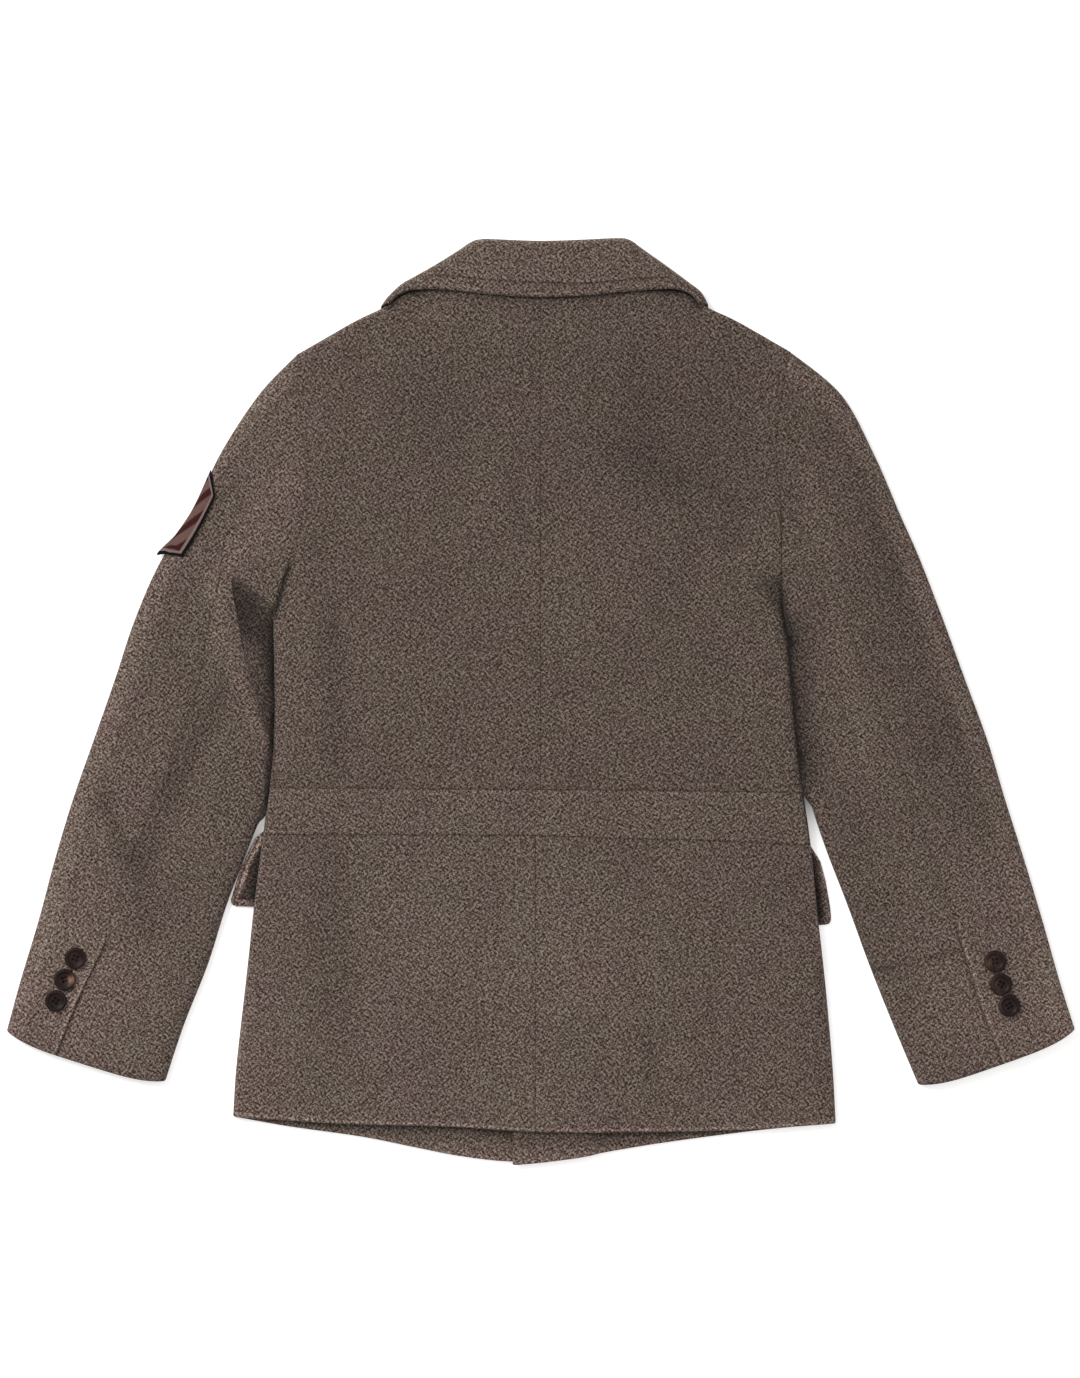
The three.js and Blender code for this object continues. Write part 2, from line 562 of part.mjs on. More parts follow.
// One section of a sleeve: places across it and heights of its four surfaces
function sleeveSection(side, position) {
  const isLeft = side === 'left';
  const rows = isLeft ? SLEEVE_LEFT : SLEEVE_RIGHT;
  const armhole = reversed(isLeft ? armholeLeft : armholeRight);
  const section = sectionAt(rows, position);
  const outer = { x: section.outerX, y: section.outerY };
  const inner = { x: section.innerX, y: section.innerY };
  const width = Math.hypot(inner.x - outer.x, inner.y - outer.y);
  const down = {
    x: ((inner.y - outer.y) / width) * (isLeft ? 1 : -1),
    y: -Math.abs(inner.x - outer.x) / width,
  };
  const first = rows[0];
  const armShare = (1 - clamp01(position / ARMHOLE_SECTIONS)) ** 2;
  const cuffShare = clamp01(1 - (rows.length - 1 - position) / CUFF_BOW_SECTIONS) ** 2;
  const clear = isLeft ? -SEAM_GAP : SEAM_GAP;
  const place = (t) => {
    const chord = mixPoint({ x: first.outerX, y: first.outerY }, { x: first.innerX, y: first.innerY }, t);
    const seam = armhole(t);
    const bow = CUFF_BOW * cuffShare * (1 - (2 * clamp01(t) - 1) ** 4);
    const straightPlace = mixPoint(outer, inner, t);
    return {
      x: straightPlace.x + (seam.x + clear - chord.x) * armShare + down.x * bow,
      y: straightPlace.y + (seam.y - chord.y) * armShare + down.y * bow,
    };
  };
  return { ...section, width, place };
}

function sleeveTop(section, distance, wall, foldShare) {
  const { width, height, innerRound } = section;
  const fromInner = width - distance;
  const share = quarterRound((distance - wall) / (OUTER_ROUND - wall))
    * quarterRound((fromInner - wall) / (innerRound - wall));
  const place = section.place(distance / width);
  const fold = foldHeight(place.x, place.y) * smooth(share);
  const limited = foldShare < 1 ? Math.min(OPEN_FOLD_LIMIT, fold) : fold;
  return FOLD_MIDDLE + (height - wall - FOLD_MIDDLE) * share + limited;
}

function sleevePoint(section, distance, z) {
  const place = section.place(distance / section.width);
  return new THREE.Vector3(place.x, place.y, z);
}

const FOLD_ANGLES = [60, 35, 12, -25, -60].map((degrees) => (degrees * Math.PI) / 180);
const TOP_PIECES = 6;
const FLOOR_PIECES = 2;
const FIRST_LOW_POINT = TOP_PIECES + 1 + FOLD_ANGLES.findIndex((angle) => angle < 0);
const WEB_FOOT = 0.6;
const WEB_LEAST = 0.4;
const WEB_FULL = 1.4;

// Wrap of a sleeve piece round one folded edge, from the top seam to the seam below.
// The function turn gives the distance from the outer edge for a distance from this edge.
function wrapPoints(section, from, to, round, wall, turn, foldShare) {
  const points = [];
  const floorRound = Math.max(WEB_FOOT, FLOOR_ROUND - wall * WEB_FOOT);
  const topRound = round - wall;
  const lowest = wall > 0 ? SLEEVE_WALL + SEAM_GAP : 2 * SLEEVE_WALL + SEAM_GAP;
  for (let i = 0; i <= TOP_PIECES; i += 1) {
    const distance = mix(from, round, i / TOP_PIECES);
    const z = sleeveTop(section, turn(distance), wall, foldShare);
    points.push(sleevePoint(section, turn(distance), Math.max(z, lowest)));
  }
  const crest = points[points.length - 1].z;
  for (const angle of FOLD_ANGLES) {
    const reach = angle > 0 ? topRound : floorRound;
    const rise = angle > 0 ? crest - FOLD_MIDDLE : FOLD_MIDDLE - wall;
    const distance = wall + reach * (1 - Math.cos(angle));
    points.push(sleevePoint(section, turn(distance), FOLD_MIDDLE + rise * Math.sin(angle)));
  }
  for (let i = 0; i <= FLOOR_PIECES; i += 1) {
    const distance = mix(wall + floorRound, to, i / FLOOR_PIECES);
    points.push(sleevePoint(section, turn(distance), wall));
  }
  return points;
}

// Lower layer that reaches past the folded edge to the body's side, below the armpit
function addWeb(points, section) {
  const reach = Math.hypot(section.webX - section.innerX, section.webY - section.innerY);
  if (reach < WEB_LEAST) return points;
  const spread = smooth((reach - WEB_LEAST) / (WEB_FULL - WEB_LEAST));
  [UNDER_WALL, WEB_FOOT].forEach((z, i) => {
    const point = points[FIRST_LOW_POINT + i];
    point.x = mix(point.x, section.webX, spread);
    point.y = mix(point.y, section.webY, spread);
    point.z = mix(point.z, z, spread);
  });
  return points;
}

const SLEEVE_STATIONS = [
  0, 0.35, 0.75, 1.2, 1.7, 2.2, 2.7, 3.2, 3.8, 4.4, 5, 5.7, 6.4, 7.2, 8, 8.9, 9.8, 10.6, 11.3, 12,
];

function sleeveGeometry(side, piece) {
  const outer = [];
  const inner = [];
  for (const position of SLEEVE_STATIONS) {
    const section = sleeveSection(side, position);
    const seam = section.seam * section.width;
    const forearm = FOREARM_SEAM * section.width;
    if (piece === 'top') {
      const turn = (distance) => distance;
      const from = seam - HALF_GAP;
      const to = forearm - HALF_GAP;
      outer.push(wrapPoints(section, from, to, OUTER_ROUND, 0, turn, 1));
      inner.push(wrapPoints(section, from, to, OUTER_ROUND, SLEEVE_WALL, turn, 0));
    } else {
      const turn = (distance) => section.width - distance;
      const from = section.width - seam - HALF_GAP;
      const to = section.width - forearm - HALF_GAP;
      const round = section.innerRound;
      outer.push(addWeb(wrapPoints(section, from, to, round, 0, turn, 1), section));
      inner.push(wrapPoints(section, from, to, round, SLEEVE_WALL, turn, 0));
    }
  }
  return wallGeometry(outer, inner);
}

const COLLAR_PIECES = 30;
const ROLL_ROUND = 8;
const ROLL_MIDDLE = 0.42;
const ROLL_STEPS = table(['across', 'up'], [[0.5, 0.87], [0.13, 0.5]]);
const LEAF_START = 0.8;
const LEAF_FLAT = 2.4;
const LEAF_LEAST = 3.4;
const LEAF_FALL = 0.6;
const LEAF_MIDDLE = 0.6;
const ROLL_SHARE = 0.72;

// Collar: top leaf on the back, folded over its upper edge, with the front ends running back below.
function collarFallGeometry() {
  const outer = [];
  const inner = [];
  const stations = even(COLLAR_PIECES).map((t) => t * (COLLAR.length - 1));
  for (const station of stations) {
    const row = sectionAt(COLLAR, station);
    const roll = { x: row.rollX, y: row.rollY };
    const edge = { x: row.edgeX, y: row.edgeY };
    const width = Math.hypot(roll.x - edge.x, roll.y - edge.y);
    const middle = mixPoint(roll, edge, 0.5);
    const under = Math.max(backOuter(edge.x, edge.y), backOuterUnderCollar(middle)) + SEAM_GAP;
    const crest = under + row.wall;
    const round = Math.min(ROLL_ROUND, width * ROLL_SHARE);
    const at = (distance, z) => {
      const place = mixPoint(roll, edge, distance / width);
      return new THREE.Vector3(place.x, place.y, z);
    };
    const below = (distance, z) => new THREE.Vector3(roll.x, roll.y - distance, z);
    const middleHeight = crest * ROLL_MIDDLE;
    const ring = (wall, floorWall) => [
      at(width, crest - wall),
      at(mix(width, round, 0.5), crest - wall),
      at(round, crest - wall),
      ...ROLL_STEPS.map(({ across, up }) => (
        at(wall + (round - wall) * across, mix(middleHeight, crest - wall, up))
      )),
      at(wall, middleHeight),
      below(wall + LEAF_START, mix(middleHeight, floorWall, LEAF_FALL)),
      below(wall + LEAF_FLAT, floorWall),
      below(Math.max(row.leaf * LEAF_MIDDLE, wall + (LEAF_FLAT + LEAF_LEAST) / 2), floorWall),
      below(Math.max(row.leaf, wall + LEAF_LEAST), floorWall),
    ];
    outer.push(ring(0, 0));
    inner.push(ring(row.wall, Math.min(UNDER_WALL, row.wall)));
  }
  return wallGeometry(outer, inner);
}

function backOuterUnderCollar(point) {
  return point.y < NECK_Y ? backOuter(point.x, point.y) : CROWN_INNER + BACK_WALL;
}

const STAND = { half: 54, halfTop: 47, above: 3.9, height: 27, lowered: 4.6 };

// Stand: from the neck seam up to the fold, inside the collar
function collarStandGeometry() {
  const seamY = NECK_Y + STAND.above;
  const bottom = straight({ x: -STAND.half, y: seamY }, { x: STAND.half, y: seamY });
  const topY = NECK_Y + STAND.height;
  const top = straight({ x: -STAND.halfTop, y: topY }, { x: STAND.halfTop, y: topY });
  const edges = { bottom, top, left: straight(bottom(0), top(0)), right: straight(bottom(1), top(1)) };
  const low = (x, y) => mix(CROWN_INNER, STAND.lowered, smooth((y - NECK_Y) / STAND.height));
  const high = (x, y) => low(x, y) + BACK_WALL;
  return panelGeometry(edges, even(STAND_PIECES.across), even(STAND_PIECES.along), low, high);
}

const PATCH_PIECES = 10;

// Points on the sleeve's outer fold, from a given distance inside the edge down to below it,
// moved out by lift
function outerFoldPoints(section, inset, lift) {
  const crest = sleeveTop(section, OUTER_ROUND, 0, 1) - FOLD_MIDDLE;
  const flat = Math.max(0, inset - OUTER_ROUND);
  const highest = flat > 0 ? Math.PI / 2 : Math.acos(1 - inset / OUTER_ROUND);
  const flatSteps = flat > 0 ? 2 : 0;
  const steps = PATCH_PIECES - flatSteps;
  const points = [];
  for (let i = 0; i < flatSteps; i += 1) {
    const distance = OUTER_ROUND + flat * (1 - i / flatSteps);
    points.push(sleevePoint(section, distance, sleeveTop(section, distance, 0, 1) + lift));
  }
  for (let i = 0; i <= steps; i += 1) {
    const angle = mix(highest, PATCH_LOW_ANGLE, i / steps);
    const across = -Math.cos(angle) / OUTER_ROUND;
    const up = Math.sin(angle) / (angle > 0 ? crest : FOLD_MIDDLE);
    const size = Math.hypot(across, up);
    const reach = angle > 0 ? OUTER_ROUND : FLOOR_ROUND;
    const rise = angle > 0 ? crest : FOLD_MIDDLE;
    const distance = reach * (1 - Math.cos(angle)) + (across / size) * lift;
    points.push(sleevePoint(section, distance, FOLD_MIDDLE + rise * Math.sin(angle) + (up / size) * lift));
  }
  return points;
}

function patchGeometry() {
  const outer = [];
  const inner = [];
  for (const row of PATCH) {
    const section = sleeveSection('left', row.section);
    outer.push(outerFoldPoints(section, row.inset, PATCH_LIFT + PATCH_WALL));
    inner.push(outerFoldPoints(section, row.inset, PATCH_LIFT));
  }
  return wallGeometry(outer, inner);
}

// Turned button with a raised rim and a dished face, as shares of its radius and thickness
const BUTTON_SIDES = 14;
const BUTTON_PROFILE = table(['r', 'z'], [
  [0, 0], [0.86, 0], [1, 0.35], [0.98, 0.8], [0.88, 1], [0.74, 0.95], [0.62, 0.72], [0, 0.66],
]);

function buttonGeometry(radius, thickness) {
  const profile = BUTTON_PROFILE.map((row) => new THREE.Vector2(row.r * radius, row.z * thickness));
  const geometry = new THREE.LatheGeometry(profile, BUTTON_SIDES);
  geometry.rotateX(Math.PI / 2);
  return geometry;
}

// Height of a sleeve's top near the cuff, found at the nearest of many small steps over it
const CUFF_STEPS = even(80).map((u) => mix(8, 12, u));
const ACROSS_STEPS = even(30).map((v) => mix(0.05, 0.65, v));

function sleeveHeightAt(side, x, y) {
  let best = { away: Infinity, z: 0 };
  for (const position of CUFF_STEPS) {
    const section = sleeveSection(side, position);
    for (const t of ACROSS_STEPS) {
      const place = section.place(t);
      const away = Math.hypot(place.x - x, place.y - y);
      if (away < best.away) best = { away, z: sleeveTop(section, t * section.width, 0, 1) };
    }
  }
  return best.z;
}

function material(colour, roughness) {
  return new THREE.MeshStandardMaterial({ color: colour, roughness, metalness: 0 });
}
const clothMaterial = material(COLOURS.cloth, 0.95);
const bandMaterial = material(COLOURS.clothBand, 0.95);
const hornMaterial = material(COLOURS.horn, 0.4);
const patchMaterial = material(COLOURS.patch, 0.8);

const coat = new THREE.Group();
function addPiece(name, geometry, pieceMaterial) {
  const mesh = new THREE.Mesh(geometry, pieceMaterial);
  mesh.name = name;
  coat.add(mesh);
  return mesh;
}

function addBody() {
  for (const side of ['left', 'right']) {
    addPiece(`back_upper_${side}`, upperBackGeometry(side), clothMaterial);
    addPiece(`back_skirt_${side}`, skirtGeometry(side), clothMaterial);
    addPiece(`front_${side}`, frontGeometry(side), clothMaterial);
  }
  addPiece('back_waistband', waistbandGeometry(), bandMaterial);
}

function addUnderPieces() {
  addPiece('pocket_flap_left', flatPieceGeometry(FLAP_LEFT, UNDER_WALL), clothMaterial);
  addPiece('pocket_flap_right', flatPieceGeometry(FLAP_RIGHT, UNDER_WALL), clothMaterial);
  addPiece('lapel_left', flatPieceGeometry(LAPEL_LEFT, UNDER_WALL), clothMaterial);
  addPiece('lapel_right', flatPieceGeometry(LAPEL_RIGHT, UNDER_WALL), clothMaterial);
}

function addSleeves() {
  for (const side of ['left', 'right']) {
    for (const piece of ['top', 'under']) {
      addPiece(`sleeve_${side}_${piece}`, sleeveGeometry(side, piece), clothMaterial);
    }
  }
}

function addCollar() {
  addPiece('collar_fall', collarFallGeometry(), bandMaterial);
  addPiece('collar_stand', collarStandGeometry(), clothMaterial);
}

function addButtons() {
  const counts = { left: 0, right: 0 };
  for (const { side, x, y } of CUFF_BUTTONS) {
    counts[side] += 1;
    const mesh = addPiece(
      `cuff_button_${side}_${counts[side]}`,
      buttonGeometry(CUFF_BUTTON_RADIUS, BUTTON_THICKNESS),
      hornMaterial,
    );
    mesh.position.set(x, y, sleeveHeightAt(side, x, y) + 2 * SEAM_GAP);
  }
  FRONT_BUTTONS.forEach(({ x, y }, i) => {
    const geometry = buttonGeometry(FRONT_BUTTON_RADIUS, FRONT_BUTTON_THICKNESS).rotateX(Math.PI);
    const mesh = addPiece(`front_button_${i + 1}`, geometry, hornMaterial);
    mesh.position.set(x, y, FRONT_BUTTON_THICKNESS);
  });
}

addBody();
addUnderPieces();
addSleeves();
addCollar();
addButtons();
addPiece('sleeve_patch', patchGeometry(), patchMaterial);

export default coat;
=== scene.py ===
"""Child's tweed coat laid flat on its front, with its back up.

Millimetres until a mesh is made. Z is up from the floor, Y points to the collar and X to the wearer's right.
Every cloth piece is a closed shell between an outer and an inner grid of points.
"""
import math

import bpy
import numpy as np
from mathutils import Euler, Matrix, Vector


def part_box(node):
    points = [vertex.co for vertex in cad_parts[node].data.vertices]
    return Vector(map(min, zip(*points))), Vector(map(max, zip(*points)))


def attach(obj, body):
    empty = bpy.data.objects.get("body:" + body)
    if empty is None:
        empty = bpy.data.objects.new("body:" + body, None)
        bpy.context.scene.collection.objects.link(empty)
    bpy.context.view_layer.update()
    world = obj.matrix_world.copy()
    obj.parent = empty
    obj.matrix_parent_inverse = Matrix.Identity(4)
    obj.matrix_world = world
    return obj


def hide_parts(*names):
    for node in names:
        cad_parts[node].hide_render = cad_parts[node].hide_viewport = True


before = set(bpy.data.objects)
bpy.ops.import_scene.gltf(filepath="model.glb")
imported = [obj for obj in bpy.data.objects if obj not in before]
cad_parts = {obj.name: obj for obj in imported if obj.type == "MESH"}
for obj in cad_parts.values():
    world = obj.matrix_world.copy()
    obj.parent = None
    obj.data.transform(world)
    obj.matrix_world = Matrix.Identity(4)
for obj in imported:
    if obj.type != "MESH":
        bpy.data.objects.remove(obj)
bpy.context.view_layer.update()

MM = 0.001
TINY = 1e-9
LOW_Y = -340

# Walls and layering, as in the solids
SEAM_GAP = 0.3
FRONT_WALL = 2.8
BACK_WALL = 2.6
BAND_EXTRA = 0.4
SLEEVE_WALL = 2.6
UNDER_WALL = 2.4
PATCH_WALL = 1.2
PATCH_LIFT = 0.75
CROWN_INNER = 6.3
EDGE_FACE = 1.0
LEAST_WALL = 0.6
EDGE_ROUND = 11
HEM_SETTLE = 46
HEM_LOW = 0.35
CARRY_MARGIN = 15
CARRY_RAMP = 12
WALL_PRESSED = 1.4
OPEN_FOLD_LIMIT = 0.1
NEAR = 9
EDGE_REACH = 26
OVERLAP_REACH = 20
OVERLAP_RAMP = 16

# Driving lines of the body
CENTRE_BACK = 0
CENTRE_SKIRT = -3.5
LEFT_FRONT_EDGE = 11
RIGHT_FRONT_EDGE = -18.6
BREAK_Y = 90
CROSSING_Y = 132
NECK_Y = 289

CUFF_BUTTON_RADIUS = 7.6
FRONT_BUTTON_RADIUS = 10
FRONT_BUTTON_THICKNESS = 2.4

# How far a piece's rim bulges at the four sides of its grid
BULGES = dict(
    seamed=(0.15, 0.15, 0.15, 0.15),
    upper_back=(0.3, 0.15, 0.15, 0.15),
    waistband=(0.3, 0.3, 0.15, 0.15),
    skirt=(0.3, 0.15, 0.9, 0.15),
    front=(0.6, 0.9, 0.9, 0.5),
    flap=(0.5, 0.5, 0.5, 0.5),
    lapel=(0.5, 0.5, 0.8, 0.5),
    sleeve=(0.15, 0.9, 0.5, 0.15),
    collar=(0.9, 0.9, 0.8, 0.5),
    patch=(0.4, 0.4, 0.4, 0.2),
)


def table(columns, rows):
    return [dict(zip(columns, row)) for row in rows]


def line(rows):
    return np.array(rows, float)


SIDE_LEFT = line([
    (-186.6, 62), (-185.6, -13.5), (-188, -48.5), (-191.7, -80), (-198.5, -132.5),
    (-205.5, -195.5), (-212.5, -258.5), (-214.5, -290),
])
SIDE_RIGHT = line([
    (169.6, 66), (173, 41), (178.2, -21), (181.2, -48.5), (188.5, -101.5),
    (193.8, -154), (198.5, -195.5), (204, -258.5), (206, -294.7),
])
ARMHOLE_LEFT = line([
    (-186.6, 62), (-181.7, 76.3), (-176.1, 96.6), (-171.9, 109.2), (-167.7, 120.7),
    (-163.5, 147.7), (-164.2, 175.7), (-168.4, 210.7), (-170.5, 242.2),
])
ARMHOLE_RIGHT = line([
    (169.6, 66), (169.1, 89.6), (168.4, 135.8), (165.6, 165.9), (166.3, 192.5), (174.7, 244.3),
])
SHOULDER_LEFT = line([
    (-170.5, 242.2), (-127.8, 266.4), (-113, 273.4), (-102, 280), (-92, 287), (-81.6, 292), (-72, 292),
])
SHOULDER_RIGHT = line([
    (174.7, 244.3), (135.5, 266.4), (119, 274), (108, 280.4), (97, 287.2), (86, 292), (76, 292),
])
WAIST_TOP = line([(-189, -61.2), (0, -62.3), (110, -63.3), (182.4, -64.5)])
WAIST_LOW = line([(-193.2, -93.2), (0, -94), (60, -96), (120, -97.4), (188.2, -100.6)])
HEM_BACK = line([
    (-214.5, -290), (-137.9, -294.8), (-61.6, -297), (0, -300.5),
    (100.8, -300.2), (159.6, -298), (206, -294.7),
])
HEM_FRONT_LEFT = line([
    (-214.5, -290), (-177, -296.6), (-122.5, -304.4), (-86, -311.8),
    (-56, -317.6), (-19.3, -321.4), (11, -318.8),
])
HEM_FRONT_RIGHT = line([
    (-18.6, -323.9), (0, -322.2), (31.5, -318), (42, -315.6),
    (86.1, -308.2), (159.6, -298.8), (206, -294.7),
])

# Flaps and lapels lie under the fronts, each between a top, a bottom and two side lines.
FLAP_LEFT = dict(
    top=line([(-92, -94.5), (-194.6, -91.8), (-199.6, -96.4)]),
    outer=line([(-212.4, -143.6), (-215.2, -142.7), (-216.4, -139.9), (-209.5, -117), (-199.6, -96.4)]),
    bottom=line([(-99, -144.8), (-197, -143.9), (-212.4, -143.6)]),
    inner=line([(-99, -144.8), (-96, -142.4), (-90.5, -97), (-92, -94.5)]),
)
FLAP_RIGHT = dict(
    top=line([(88, -106.5), (188.9, -102)]),
    outer=line([
        (190, -157.2), (201.2, -156.4), (203, -153), (202.2, -144), (199, -125.5), (195.2, -111.8),
        (188.9, -102),
    ]),
    bottom=line([(95, -156.2), (190, -157.2)]),
    inner=line([(95, -156.2), (91.5, -153.5), (85.5, -109), (88, -106.5)]),
)
LAPEL_LEFT = line([(-11, 147), (-52.5, 262), (-92, 236), (-112, 222), (-62, 166)])
LAPEL_RIGHT = line([(5, 147), (60, 166), (112, 222), (92, 236), (51.5, 262)])

# Collar: one row a section from the left tip to the right one.
COLLAR = table(("roll_x", "roll_y", "edge_x", "edge_y", "leaf", "wall"), [
    (-111.2, 276.8, -104.8, 278.8, 9, 1.8),
    (-106.4, 283.2, -100.6, 283.3, 20, 2.2),
    (-97.6, 291.4, -92, 287.2, 36, 2.7),
    (-88, 297, -85, 288.2, 44, 3),
    (-78, 302.6, -77, 288.6, 48, 3),
    (-68, 308.5, -68, 288.2, 48, 3),
    (-56, 316.2, -57, 287.2, 45, 3),
    (-47.6, 321.6, -48, 286.2, 40, 3),
    (-40, 323.2, -40, 285.4, 24, 3),
    (-30, 323, -30, 284.4, 9, 3),
    (0, 321.9, 0, 282.9, 8, 3),
    (30, 322.8, 30, 284, 9, 3),
    (52, 323.8, 50, 285.8, 24, 3),
    (62, 322.8, 60, 286.8, 40, 3),
    (72, 315.8, 70, 287.6, 45, 3),
    (84, 307.4, 81, 288.4, 48, 3),
    (95, 299.4, 91, 288.6, 46, 3),
    (103, 293.4, 97.5, 287.8, 38, 2.7),
    (112, 286.4, 106.2, 284.1, 22, 2.2),
    (117, 278.2, 110.6, 278.8, 9, 1.8),
])

# Sleeves: one row a section from the armhole to the cuff, by its two folded edges.
# web is how far the lower layer reaches past the inner edge, seam the elbow seam's share across the top.
SLEEVE_COLUMNS = (
    "outer_x", "outer_y", "inner_x", "inner_y", "web_x", "web_y", "seam", "height", "inner_round",
)
SLEEVE_LEFT = table(SLEEVE_COLUMNS, [
    (-170.5, 242.2, -186.7, 62.3, -186.9, 61.9, 0.62, 9.0, 9),
    (-197.1, 214.2, -195.5, 70, -187, 57, 0.61, 9.0, 9),
    (-224.4, 172.2, -214.5, 82, -186.8, 46, 0.6, 9.0, 9),
    (-243.3, 131.5, -209.5, 50, -186.6, 28, 0.57, 8.8, 8),
    (-266.2, 97, -202, 18, -186.3, 8, 0.54, 8.6, 8),
    (-283.9, 56.7, -192.8, -12, -186.2, -16, 0.51, 8.6, 10),
    (-297.9, 14.7, -188.3, -41, -188.1, -41.2, 0.48, 8.6, 13),
    (-312.6, -27.3, -191.3, -68, -191.1, -68.2, 0.455, 8.6, 12),
    (-327.3, -69.3, -204.4, -103, -204.2, -103.2, 0.43, 8.6, 11),
    (-339.9, -111.3, -219.6, -143, -219.4, -143.2, 0.41, 8.5, 11),
    (-351.1, -153.3, -232.6, -184, -232.4, -184.2, 0.39, 8.4, 11),
    (-363.7, -195.3, -249.2, -226, -249, -226.2, 0.345, 8.2, 10),
    (-373.2, -230, -262.2, -265, -262, -265.2, 0.31, 8.0, 9),
])
SLEEVE_RIGHT = table(SLEEVE_COLUMNS, [
    (174.7, 244.3, 169.7, 66.3, 169.5, 66.1, 0.62, 9.0, 10),
    (210.4, 214.2, 171.3, 57, 171.1, 56.8, 0.61, 9.0, 14),
    (233.5, 172.2, 173.4, 42, 173.2, 41.8, 0.6, 9.0, 19),
    (251.7, 130.2, 175.1, 26, 174.9, 25.8, 0.57, 8.8, 22),
    (265.2, 99.7, 176.7, 8, 176.5, 7.8, 0.54, 8.6, 23),
    (281.8, 56.7, 178.7, -15, 178.5, -15.2, 0.51, 8.6, 23),
    (297.2, 14.7, 181.1, -41, 180.9, -41.2, 0.48, 8.6, 19),
    (312.6, -27.3, 188.2, -69, 188, -69.2, 0.47, 8.6, 14),
    (325.2, -69.3, 199.8, -104, 199.6, -104.2, 0.465, 8.6, 11),
    (338.5, -111.3, 214.8, -143, 214.6, -143.2, 0.46, 8.5, 11),
    (351.1, -153.3, 229.8, -184, 229.6, -184.2, 0.458, 8.4, 11),
    (363, -195.3, 246.5, -226, 246.3, -226.2, 0.463, 8.2, 10),
    (373.6, -229, 264, -267.6, 263.8, -267.8, 0.46, 8.0, 9),
])
CUFF_BOW = 6
CUFF_BOW_SECTIONS = 1.6
SECTION_STEP = 42.0
ARMHOLE_SECTIONS = 2.4
OUTER_ROUND = 12
FLOOR_ROUND = 2.6
FOLD_MIDDLE = 3.4
FOREARM_SEAM = 0.8

# turn sets the holes; spot_at and spot are the direction and the strength of a pale spot on the button's
# face.
CUFF_BUTTONS = table(("side", "x", "y", "turn", "spot_at", "spot"), [
    ("left", -325, -179.8, 0.4, 0, 0),
    ("left", -332.5, -194.8, 1.1, 0, 0.85),
    ("left", -338.6, -209.6, 0.2, 0, 0),
    ("right", 317.7, -182, 0.9, 3.3, 0.22),
    ("right", 321.9, -198, 0.3, 3.1, 0.12),
    ("right", 327.6, -213, 1.3, 0, 0),
])
FRONT_BUTTONS = table(("x", "y"), [(-3.8, 62), (-3.8, -28), (-3.8, -118)])

# Patch on the outer edge of the left sleeve: sections run down the sleeve, inset is its reach on the back.
PATCH = table(("section", "inset"), [
    (2.3, 17), (2.5, 15.3), (2.75, 13.4), (3, 12.2), (3.25, 12.2), (3.5, 12.4), (3.57, 12.6),
    (3.64, 9.3), (3.72, 5.4), (3.8, 1.5),
])

# Largest folds: a line, the half width of the fold across it, and its height or depth.
FOLDS = table(("x0", "y0", "x1", "y1", "width", "height"), [
    (-178, 150, -222, 88, 11, 1.0),
    (-224, 80, -212, 34, 6, 0.9),
    (-221, 8, -249, -48, 10, -1.2),
    (-249, -48, -273, -118, 11, -1.0),
    (-305, -62, -287, -111, 9, -0.8),
    (-287, -111, -275, -150, 9, -0.6),
    (192, 150, 231, -41, 12, 0.8),
    (224, 155, 245, 78, 11, -0.9),
    (238, 43, 273, -41, 12, -1.1),
    (273, -41, 315, -111, 12, -0.8),
    (-168, 85, -168, -45, 9, 0.5),
    (-140, 43, -140, -50, 10, -0.7),
    (-138, -111, -133, -237, 11, -0.7),
    (70, 238, 70, 150, 10, -0.5),
    (77, -209, 77, -262, 10, -0.5),
    (159, 84, 162, 70, 6, -1.4),
])


# Small helpers
def clamp01(value):
    return np.clip(value, 0, 1)


def mix(a, b, t):
    return a + (b - a) * t


def smooth(value):
    value = clamp01(value)
    return value * value * (3 - 2 * value)


def quarter_round(value):
    return np.sqrt(1 - (1 - clamp01(value)) ** 2)


def hill(away, width):
    return np.exp(-((away / width) ** 2))


def soft_lines(away, *lines):
    """Sum of soft lines beside an edge. A line has its distance from the edge, half width and strength."""
    return sum(strength * hill(away - distance, width) for distance, width, strength in lines)


def lengths_along(points):
    """Length run from the first point up to each one."""
    steps = np.linalg.norm(np.diff(points, axis=0), axis=1)
    return np.concatenate([[0], np.cumsum(steps)])


def centripetal(points, pieces=40):
    """Dense points of a smooth curve through the given ones."""
    first = 2 * points[0] - points[1]
    last = 2 * points[-1] - points[-2]
    all_points = np.vstack([first, points, last])
    t = np.linspace(0, 1, pieces, endpoint=False)[:, None]
    dense = []
    for a, b, c, d in zip(all_points, all_points[1:], all_points[2:], all_points[3:]):
        before, here, after = (math.sqrt(math.dist(p, q)) for p, q in ((a, b), (b, c), (c, d)))
        leave = ((b - a) / before - (c - a) / (before + here) + (c - b) / here) * here
        arrive = ((c - b) / here - (d - b) / (here + after) + (d - c) / after) * here
        dense.append(
            b + leave * t
            + (3 * (c - b) - 2 * leave - arrive) * t ** 2
            + (2 * (b - c) + leave + arrive) * t ** 3
        )
    return np.vstack([*dense, points[-1:]])


